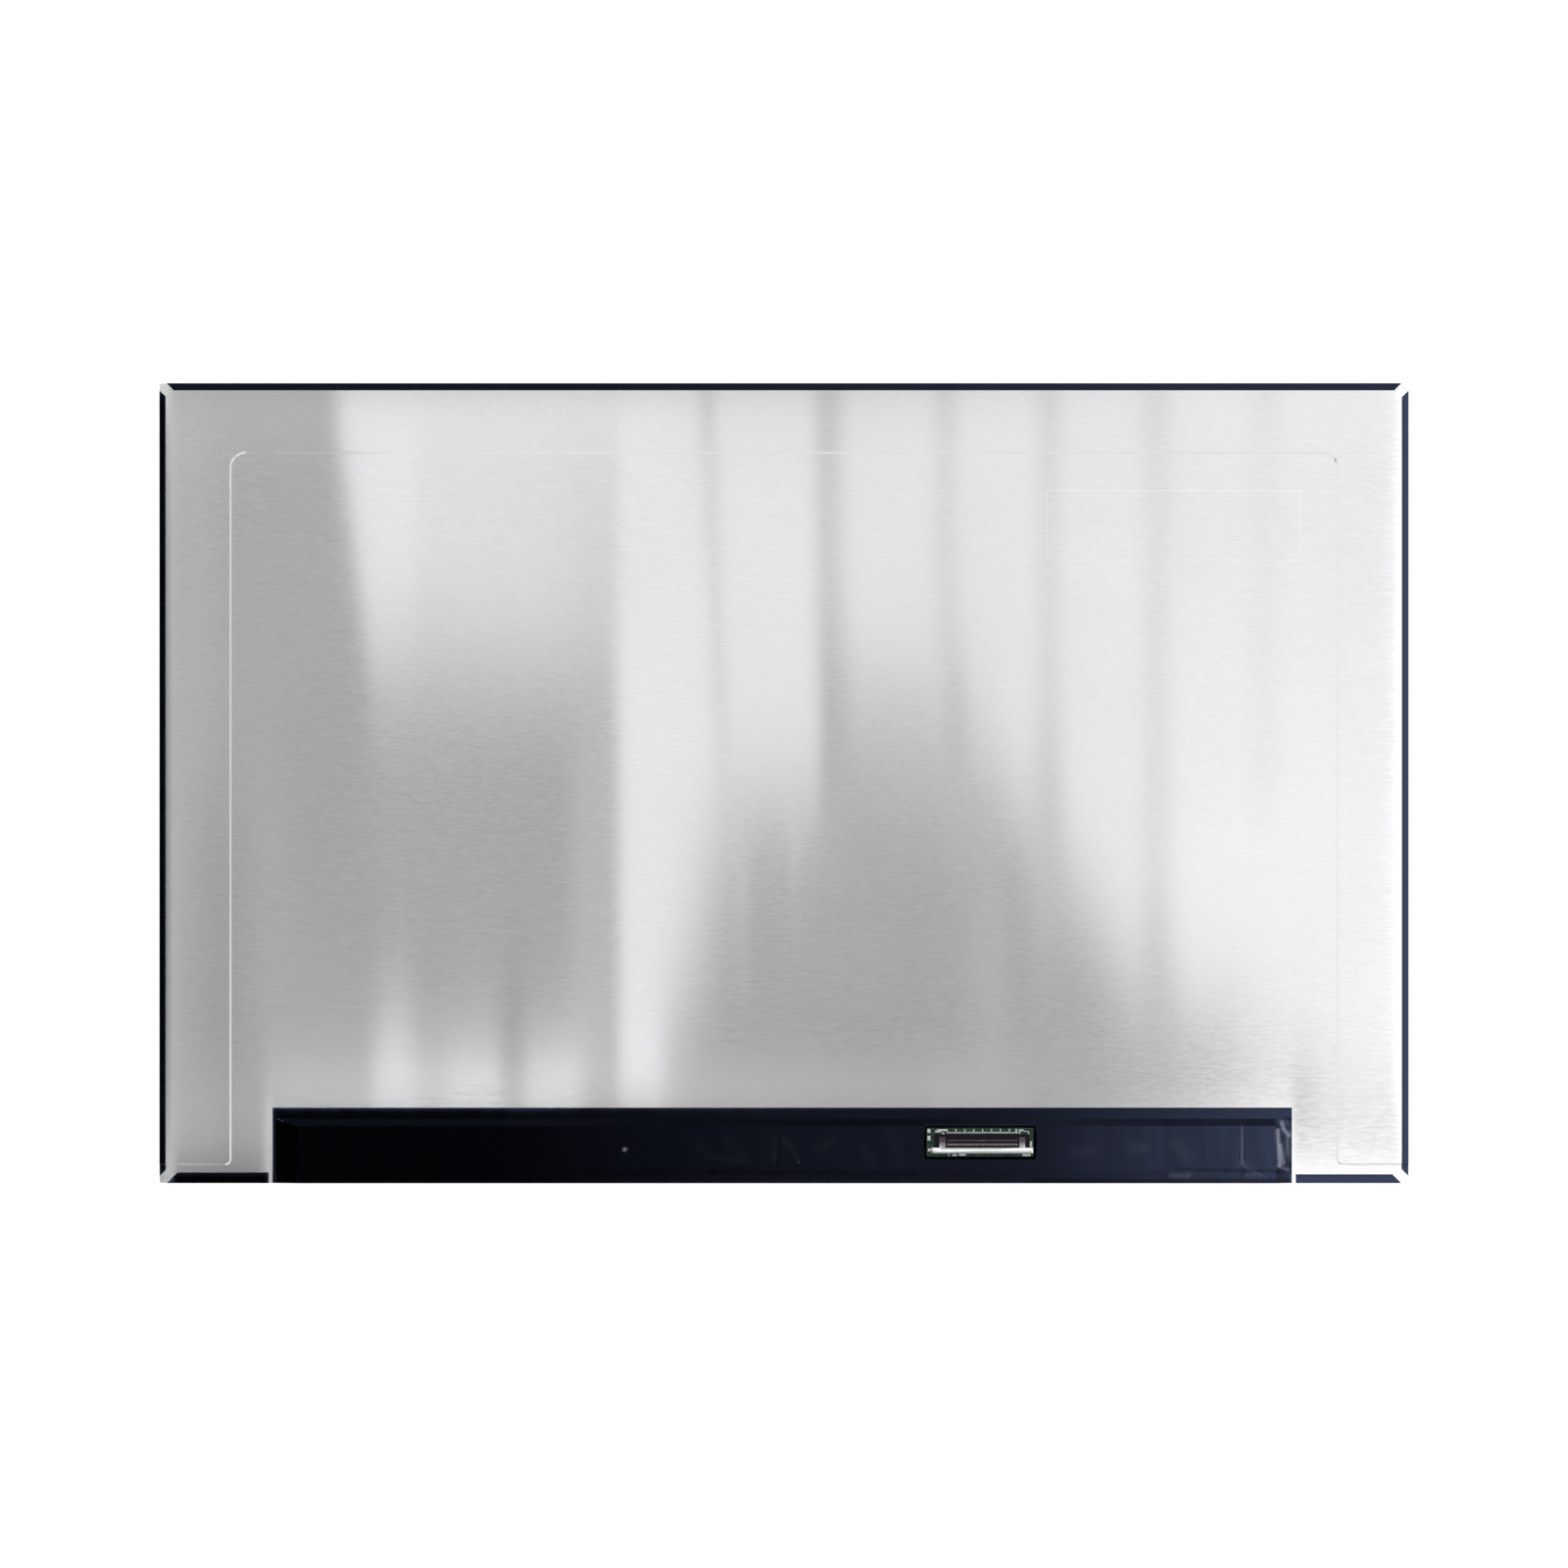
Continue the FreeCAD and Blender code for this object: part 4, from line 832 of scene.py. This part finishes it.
def film_grid(tape):
    """Places of the film's mesh lines: across it in X, and along its travel."""
    low, high = window_box(tape)
    lips = [tape.lip * part / 3 for part in range(4)]
    columns = stations(COVER_LOW.x, COVER_HIGH.x, tape.column,
                       [*LEFT_SLOPE, RIGHT_RIDGE, RIGHT_FOOT, *(low.x - lip for lip in lips),
                        *(high.x + lip for lip in lips)])
    back, turn, tall = film_lengths(tape)
    foot = COVER_HIGH.y - BOARD_HIGH.y - tape.rise_start
    rows = stations(0, back, tape.row, [foot, foot + tape.rise, COVER_HIGH.y - BOTTOM_SLOPE[1],
                                        *(COVER_HIGH.y - high.y - lip for lip in lips[:-1]),
                                        *(COVER_HIGH.y - low.y + lip for lip in lips)])
    for run, count in ((turn, 4), (tall, 5), (turn, 4), (TURNED_UNDER - tape.fold, 8)):
        begin = rows[-1]
        rows += [begin + run * place / count for place in range(1, count + 1)]
    return columns, rows


def mark_film(film, tape):
    """Notes in the film's mesh where its reflection is turned down, round the opening and as painted shade
    along the fold, and where painted highlights and a dust speck lie.
    """
    edge = film.data.attributes.new("edge", "FLOAT", "POINT")
    highlight_and_dust = film.data.attributes.new("highlight_and_dust", "FLOAT", "POINT")
    for place, vertex in enumerate(film.data.vertices):
        x, y, z = vertex.co
        if z > FIELD:
            pressed = outside(x, y, *window_box(tape)) < 0.95 * tape.lip
            # The film's reflection is turned down round the opening, and along the fold as painted shade.
            edge.data[place].value = 1 if pressed else strokes(PAINTED_SHADE_LINES, x, y)
            # Painted highlights and one dust speck, from the strokes above.
            highlight_and_dust.data[place].value = min(strokes(HIGHLIGHTS_AND_DUST, x, y), 1)


def cut_window(film, tape):
    """Cuts the opening over the socket."""
    in_edit((bpy.ops.mesh.select_mode, {"type": "FACE"}), (bpy.ops.mesh.select_all, {"action": "DESELECT"}))
    for face in film.data.polygons:
        x, y, z = face.center
        face.select = z > BOARD_HIGH.z and outside(x, y, *window_box(tape)) == 0
    bpy.ops.object.mode_set(mode="EDIT")
    bpy.ops.mesh.delete(type="FACE")
    bpy.ops.mesh.select_mode(type="VERT")
    bpy.ops.object.mode_set(mode="OBJECT")


class PANEL_OT_cover_film(bpy.types.Operator):
    """Lays the wide black film over the control board and round the bottom edge"""
    bl_idname = "display_panel.cover_film"
    bl_label = "Cover Film"

    def execute(self, context):
        tape = finishes().tape
        columns, rows = film_grid(tape)
        film = start(bpy.ops.mesh.primitive_grid_add, x_subdivisions=len(columns) - 1,
                     y_subdivisions=len(rows) - 1, size=1)
        for vertex in film.data.vertices:
            column = round((vertex.co.x + 0.5) * (len(columns) - 1))
            row = round((0.5 - vertex.co.y) * (len(rows) - 1))
            vertex.co = film_point(tape, columns[column], rows[row])
        mark_film(film, tape)
        cut_window(film, tape)
        modify(film, "SOLIDIFY", thickness=tape.thickness, offset=-1)
        bpy.ops.object.shade_smooth_by_angle(angle=math.radians(9))
        finish = bpy.data.materials["black_film"]
        settle(film, "crinkled_cover_film", finish, "black_tape", "board_cover_tape")
        return {"FINISHED"}


# Control board and signal socket


# Printed marks and tinned pads on the board, in millimetres: left, right, bottom, top.
PRINTED = (
    (42.45, 44.20, -98.00, -97.50), (42.95, 45.55, -97.62, -97.12), (44.35, 45.05, -98.60, -98.02),
    (64.98, 65.38, -98.25, -97.05), (65.95, 66.35, -98.40, -97.20), (66.45, 67.15, -97.60, -97.15),
    (67.15, 68.60, -97.78, -97.60), (68.52, 68.78, -99.30, -97.70), (68.98, 69.62, -102.10, -100.50),
    (67.10, 67.50, -100.20, -99.55), (46.10, 46.35, -104.60, -103.95), (47.25, 48.55, -104.62, -104.10),
    (49.10, 51.05, -104.55, -104.00),
)
PADS = (
    (40.25, 41.10, -98.10, -97.05), (40.25, 41.10, -100.25, -99.00), (40.35, 41.30, -103.30, -102.55),
    (66.90, 69.20, -104.65, -104.05),
)
# The first of the marks that count the contacts, and how many there are.
TICK = (CONTACT_LOW.x / MM - 0.15, CONTACT_LOW.x / MM + 0.15, -97.75, -97.10)
TICKS = 8


def thin_plate(left, right, bottom, top, height, corner):
    """A low flat plate on the board, placed in millimetres, with rounded edges."""
    piece = block((left * MM, bottom * MM, BOARD_HIGH.z), (right * MM, top * MM, BOARD_HIGH.z + height))
    round_edges(corner)
    return piece


class PANEL_OT_control_board(bpy.types.Operator):
    """Finishes the control board, with its printed marks and tinned pads"""
    bl_idname = "display_panel.control_board"
    bl_label = "Control Board"

    def execute(self, context):
        board = finishes().board
        dress(green_mask(), "control_board")
        dress_plain("tacky_film")
        tick = thin_plate(*TICK, board.ink_height, 0.005 * MM)
        repeat(tick, TICKS, board.tick_pitch)
        marks = join([tick, *(thin_plate(*sides, board.ink_height, 0.005 * MM) for sides in PRINTED)])
        ink = mottled("white_ink", board.ink, 0.55, 3000, 0.12, 0.004 * MM)
        settle(marks, "printed_marks", ink, "board_laminate")
        pads = join([thin_plate(*sides, 0.05 * MM, 0.02 * MM) for sides in PADS])
        tin = mottled("bare_solder", board.tin, 0.3, 900, 0.1, 0.01 * MM, metallic=0.35)
        settle(pads, "tinned_pads", tin, "connector_steel")
        return {"FINISHED"}


class PANEL_OT_signal_socket(bpy.types.Operator):
    """Finishes the signal socket and solders it to the board"""
    bl_idname = "display_panel.signal_socket"
    bl_label = "Signal Socket"

    def execute(self, context):
        board = finishes().board
        dress(plated_spring(), "connector_contacts")
        housing = eased_copy("connector_housing", 0.06 * MM)
        plastic = mottled("dark_moulding", board.moulding, 0.4, 1500, 0.15, 0.006 * MM, gloss=0.15)
        settle(housing, "socket_moulding", plastic, "connector_plastic", "connector_housing")
        shell = eased_copy("connector_shell", 0.05 * MM, 3)
        steel = brushed("tinned_steel", board.shell, board.arm, 0.035, 0.00005 * MM)
        settle(shell, "socket_shell", steel, "connector_steel", "connector_shell")
        half_width = 0.17 * MM
        middle = CONTACT_LOW.x + 0.1 * MM
        bead = block((middle - half_width, CONTACT_HIGH.y - 0.62 * MM, BOARD_HIGH.z),
                     (middle + half_width, CONTACT_HIGH.y + 0.06 * MM, BOARD_HIGH.z + 0.24 * MM))
        round_edges(0.09 * MM)
        repeat(bead, board.contacts, board.contact_pitch)
        bpy.ops.object.shade_smooth()
        settle(bead, "soldered_tails", bpy.data.materials["bare_solder"], "connector_steel")
        return {"FINISHED"}


class PANEL_OT_board_parts(bpy.types.Operator):
    """Finishes the parts under the cover film"""
    bl_idname = "display_panel.board_parts"
    bl_label = "Board Parts"

    def execute(self, context):
        dress_plain("moulded_epoxy", "pressed_ferrite", "tan_ceramic", "black_glaze")
        amber = tracked_film("amber_film", (0.30, 0.11, 0.015), (0.60, 0.30, 0.12), 0.16 * MM, 0.5, 0.3)
        dress(amber, *SIGNAL_FILMS)
        white = tracked_film("white_flex", (0.78, 0.78, 0.75), (0.62, 0.58, 0.48), 1.6 * MM, 0.3, 0.4)
        dress(white, "lamp_strip")
        return {"FINISHED"}


class PANEL_OT_screen_stack(bpy.types.Operator):
    """Finishes the screen's glass, films, light guide, lamps and frame"""
    bl_idname = "display_panel.screen_stack"
    bl_label = "Screen Stack"

    def execute(self, context):
        dress(dark_screen(), "front_polariser")
        dress(clear_sheet("panel_glass", (0.80, 0.90, 0.87), 0.03, 1.0), "colour_filter_glass", "array_glass")
        ribbed = clear_sheet("ribbed_film", (0.88, 0.90, 0.90), 0.12, 0.8, 0.05 * MM, 0.02 * MM)
        dress(ribbed, "upper_prism_sheet", "lower_prism_sheet")
        dress(clear_sheet("moulded_acrylic", (0.88, 0.92, 0.90), 0.06, 0.95), "light_guide")
        dress_plain("dark_film", "milky_film", "white_film")
        dress_plain("black_moulding", "black_rim_tape", "yellow_resin")
        return {"FINISHED"}


# Studio


# Fields of the overhead light, in millimetres where they show in the plate, each laid over those before it:
# glow, then left, right, bottom and top, each as place, soft edge and any lean, or None if it is open.
CARDS = {
    "right_side": (0.97, (100, 45), None, None, (40, 90)),
    "left_flag": (0.43, None, (-112.7, 3, -0.126), None, None),
    "left_rim": (0.47, None, (-160, 6), (-30, 30), None),
    "left_low": (0.375, (-165, 6), (-150, 6), None, (-5, 25)),
    "left_inner": (0.405, (-140, 8), (-112.7, 3, -0.126), (-60, 15), (25, 20)),
    "left_top": (1.25, None, (-112.7, 3, -0.126), (106, 5), None),
    "top_lift": (1.3, (-126, 3), None, (105.5, 4.5), None),
    "top_strip": (1.85, (-126, 3), (-30, 60), (105.5, 5), None),
    "upper_shade": (0.79, (-103, 5), (-56, 10), (20, 20), (100, 8)),
    "streak_0": (0.73, (-62, 10), (-46.5, 1.5), None, (98, 8)),
    "middle_flag": (0.41, (-114, 3, -0.126), (-47.6, 4), None, (32, 26)),
    "middle_edge": (0.51, (-60, 5), (-47.6, 4), None, (20, 20)),
    "centre_haze": (0.72, (17, 5), (54, 10), (0, 20), (33, 7)),
    "centre_flag": (0.415, (12.5, 6), (62, 17, -0.655), None, (12, 40)),
    "lower_flag": (0.425, (-15.5, 14, 0.2), (30, 9), None, (-6, 20)),
    "flame_1": (0.60, (-13.5, 1.6), (-11, 1.6), (-50, 20), (0, 12)),
    "flame_2": (0.62, (1.6, 1.2), (4.2, 1.2), (-26, 10), (-2, 10)),
    "centre_streak": (0.47, (52, 5), (62, 5), (-80, 20), (-8, 25)),
    "streak_1": (0.71, (-18.6, 2.5, -0.044), (-14.8, 2.5, -0.044), (-6, 16), None),
    "streak_2": (0.65, (9, 3), (16, 4), (22, 20), None),
    "streak_2_foot": (0.49, (10.8, 1.5), (18, 4), (-20, 20), (40, 16)),
    "streak_3": (0.75, (42, 3), (48, 4), (20, 20), None),
    "streak_3_foot": (0.55, (45, 3), (51, 3), (-16, 20), (35, 12)),
    "streak_4": (0.75, (71.5, 4), (77.5, 4), (-14, 36), None),
    "streak_4_foot": (0.60, (70, 5), (78, 5), (-40, 20), (10, 20)),
    "streak_5": (0.79, (101, 4), (108, 4), (-60, 20), None),
    "streak_5_foot": (0.58, (100, 5), (109, 6), (-80, 10), (-42, 16)),
    "streak_6": (0.86, (131, 4), (139, 4), (0, 30), None),
    "low_right": (0.50, (94, 12), (134, 14), None, (-64, 16)),
    "low_far_right": (0.74, (124, 12), (158, 14), None, (-74, 14)),
    "low_band": (1.55, (-116, 3), (-54, 6), None, (-81, 8)),
    "low_flame": (0.73, (-114, 3), (-105, 4), (-83, 4), (-64, 12)),
    "low_dip": (0.46, (-103, 4), (-94, 4), (-84, 4), (-68, 8)),
    "low_left_band": (0.78, (-142.5, 2), (-114, 3), (-109.4, 0.6), (-86, 5)),
    "low_left_side": (0.52, (-155, 3), (-143.5, 1), (-109.4, 0.6), (-88, 8)),
    "low_band_foot": (3.0, (-143, 3), (-54, 6), None, (-88, 2)),
    "low_streak": (0.33, (-79.5, 3), (-72.5, 3), (-86, 3), (-60, 12)),
    "low_centre_shade": (0.28, (-30, 8), (50, 25), (-83, 4), (-70, 8)),
    "low_centre_band": (0.95, (-56, 6), (62, 40), None, (-83, 5)),
    "low_centre_foot": (1.7, (-56, 6), (0, 22), None, (-88, 2)),
    "low_right_foot": (0.06, (92, 14), (148, 6), (-95, 2), (-86, 5)),
    "right_foot": (0.78, (148, 5), (172.6, 0.5), (-109.8, 0.5), (-90, 8)),
    "right_corner": (0.34, (144.5, 2), (172.6, 0.5), (-109.8, 0.5), (-101, 5)),
    "band_foot": (1.35, (-46, 3), (-34, 3), None, (-78, 8)),
    "left_foot": (0.58, None, (-154, 10), (-109.4, 0.6), (-88, 8)),
    "film_flag": (0.025, (-143.5, 0.5), (143.2, 0.6), (-260, 6), (-91.0, 0.5)),
    "film_middle": (0.26, (-25, 80), (143.2, 0.6), (-260, 6), (-91.0, 0.5)),
    "film_glow": (2.1, (134, 85), (143.2, 0.6), (-260, 6), (-91.0, 0.5)),
    "bottom_left_flag": (0.0, (-171.6, 0.5), (-144.9, 0.5), (-175, 4), (-109.6, 0.5)),
    "bottom_left_gap": (0.85, (-144.9, 0.5), (-143.5, 0.5), (-175, 4), (-107, 2)),
    "bottom_right_lamp": (1.7, (143.4, 0.5), (172.6, 0.5), (-175, 4), (-109.8, 0.5)),
    "far_bottom": (0.82, (-164, 4), None, None, (-320, 10)),
    "top_flag": (0.22, (-172.8, 0.5), (172.8, 0.5), (109.8, 0.5), (150, 4)),
    "top_glow": (0.85, (60, 160), (172.8, 0.5), (109.8, 0.5), (150, 4)),
    "far_top_right": (0.55, (80, 120), None, (235, 15), (1050, 80)),
    "far_top_flag": (0.12, (-300, 10), (150, 110), (235, 15), (1050, 80)),
    "left_corner": (1.5, (-178, 0.5), (-171.6, 0.5), (-115, 0.5), (-109.6, 0.5)),
    "left_margin": (0.58, (-173.6, 0.4), (-171, 1.5), (-109.6, 0.5), (109.6, 0.5)),
    "left_edge_flag": (0.0, (-215, 20), (-173.6, 0.4), (-109.6, 0.5), (109.6, 0.5)),
    "left_low_flag": (0.0, (-300, 5), (-178.0, 0.6), (-190, 10), (-60, 10)),
    "far_corner": (0.82, (-300, 5), (-164, 4), (-470, 15), (-220, 10)),
    "foot_flag": (0.25, (-340, 10), (-190, 10), None, (-500, 20)),
    "far_left": (0.90, None, (-300, 5), None, None),
    "right_lamp": (1.75, (173.2, 0.4), (290, 10), (-109.6, 0.5), (109.6, 0.5)),
    "far_right": (0.66, (310, 10), None, None, None),
    "socket_lamp": (1.25, (41.0, 0.4), (70.0, 0.2), (-104.1, 0.2), (-101.9, 0.2)),
}


def close_lines(*runs):
    """Places of mesh lines, from runs of even ones given as first, last and count."""
    return np.unique(np.concatenate([np.linspace(*run) for run in runs]).round(2))


# Lines of the canopy's mesh, in the same measure: close together where a field has a sharp edge.
SEEN_X = close_lines((-186, 186, 249), (-176, -170, 16), (-147, -141, 16), (40, 42, 6), (69, 71, 6),
                     (141, 147, 16), (170, 176, 16))
SEEN_Y = close_lines((-186, 186, 187), (-113, -107, 16), (-105, -101, 21), (-94, -88, 16), (107, 113, 16))


def beyond(value, across, side):
    """Eases from nought to one across a field's soft side, which may lean."""
    place, edge, *lean = side
    t = np.clip((value - place - sum(lean) * across + edge) / (2 * edge), 0, 1)
    return t * t * (3 - 2 * t)


def canopy_fields(x, y):
    """Brightness of the overhead light where it shows in the plate."""
    light = np.full(x.shape, finishes().studio.canopy_glow)
    for glow, left, right, bottom, top in CARDS.values():
        mask = np.ones(x.shape)
        for value, across, low, high in ((x, y, left, right), (y, x, bottom, top)):
            if low:
                mask *= beyond(value, across, low)
            if high:
                mask *= 1 - beyond(value, across, high)
        light += mask * (glow - light)
    return light


def canopy_light():
    """Soft light whose brightness is kept in the canopy's mesh."""
    look = Finish("canopy_light")
    look.glow(look.add("Emission", {"Color": WHITE, "Strength": look.noted("glow")})[0])
    look.material.cycles.emission_sampling = "NONE"
    return look.material


def add_canopy(distance):
    """Overhead light, seen only in reflections and by what it lights."""
    studio = finishes().studio
    spread = 1 + studio.canopy_height / distance
    half = studio.canopy_size / 2
    sides = [np.array(stations(-half, half, 60 * MM, marks * spread * MM)) for marks in (SEEN_X, SEEN_Y)]
    canopy = start(bpy.ops.mesh.primitive_grid_add, x_subdivisions=len(sides[0]) - 1,
                   y_subdivisions=len(sides[1]) - 1, size=1)
    canopy.name = "canopy"
    canopy.visible_camera = False
    places = np.empty(3 * len(canopy.data.vertices))
    canopy.data.vertices.foreach_get("co", places)
    places = places.reshape(-1, 3)
    for axis, lines in enumerate(sides):
        order = np.rint((places[:, axis] + 0.5) * (len(lines) - 1)).astype(int)
        places[:, axis] = lines[order]
    places[:, 2] = PLATE_TOP + studio.canopy_height
    canopy.data.vertices.foreach_set("co", places.ravel())
    seen = places / (spread * MM)
    glow = canopy.data.attributes.new("glow", "FLOAT", "POINT")
    glow.data.foreach_set("value", canopy_fields(seen[:, 0], seen[:, 1]))
    canopy.data.materials.append(canopy_light())


def pale_floor():
    """White floor with a faint shadow; it shows white to the camera, in reflections and through glass."""
    look = Finish("pale_floor")
    rays = look.add("LightPath")
    indirect = look.math("MAXIMUM", rays["Is Glossy Ray"], rays["Is Transmission Ray"])
    seen = look.math("MAXIMUM", rays["Is Camera Ray"], indirect)
    plain = look.add("Emission", {"Color": WHITE, "Strength": look.math("MULTIPLY", seen, 0.92)})
    shaded = look.add("BsdfDiffuse", {"Color": (0.5, 0.5, 0.5, 1)})
    look.glow(look.add("AddShader", {0: plain[0], 1: shaded[0]})[0])
    return look.material


class PANEL_OT_stage(bpy.types.Operator):
    """Sets up the floor, the overhead light and the camera"""
    bl_idname = "display_panel.stage"
    bl_label = "Stage"

    def execute(self, context):
        studio = finishes().studio
        scene = context.scene
        scene.view_settings.view_transform = "Standard"
        lens = bpy.data.cameras.new("camera")
        lens.lens = studio.lens
        distance = studio.view_width * lens.lens / lens.sensor_width
        camera = bpy.data.objects.new("camera", lens)
        camera.location = (0, -studio.view_drop, PLATE_TOP + distance)
        scene.collection.objects.link(camera)
        scene.camera = camera
        floor = start(bpy.ops.mesh.primitive_plane_add, size=studio.floor_size, location=(0, 0, -0.2 * MM))
        floor.name = "floor"
        floor.data.materials.append(pale_floor())
        add_canopy(distance)
        world = bpy.data.worlds.new("studio")
        world.use_nodes = True
        scene.world = world
        sky = Tree(world.node_tree)
        inputs = sky.tree.nodes["Background"].inputs
        inputs["Color"].default_value = WHITE
        from_camera = sky.add("LightPath")["Is Camera Ray"]
        sky.feed(inputs["Strength"], sky.math("MULTIPLY_ADD", from_camera, 0.2, 0.8))
        return {"FINISHED"}


class DisplayPanelSettings(bpy.types.PropertyGroup):
    """All settings of the display panel."""
    metal: PointerProperty(type=MetalFinish)
    tape: PointerProperty(type=TapeFinish)
    board: PointerProperty(type=BoardFinish)
    studio: PointerProperty(type=StudioSettings)


OPERATORS = (PANEL_OT_metal_back, PANEL_OT_edge_tapes, PANEL_OT_cover_film, PANEL_OT_control_board,
             PANEL_OT_signal_socket, PANEL_OT_board_parts, PANEL_OT_screen_stack, PANEL_OT_stage)


class VIEW3D_PT_display_panel(bpy.types.Panel):
    """Buttons that build the display panel's looks"""
    bl_label = "Display Panel"
    bl_space_type = "VIEW_3D"
    bl_region_type = "UI"
    bl_category = "Display Panel"

    def draw(self, context):
        for operator in OPERATORS:
            self.layout.operator(operator.bl_idname)


CLASSES = (MetalFinish, TapeFinish, BoardFinish, StudioSettings, DisplayPanelSettings, *OPERATORS,
           VIEW3D_PT_display_panel)


def register():
    """Makes the settings, buttons and panel known."""
    for item in CLASSES:
        bpy.utils.register_class(item)
    bpy.types.Scene.display_panel = PointerProperty(type=DisplayPanelSettings)


def unregister():
    """Takes the settings, buttons and panel away."""
    del bpy.types.Scene.display_panel
    for item in reversed(CLASSES):
        bpy.utils.unregister_class(item)


def main():
    """Builds everything in order."""
    register()
    for operator in OPERATORS:
        group, name = operator.bl_idname.split(".")
        getattr(getattr(bpy.ops, group), name)()


if __name__ == "__main__":
    main()
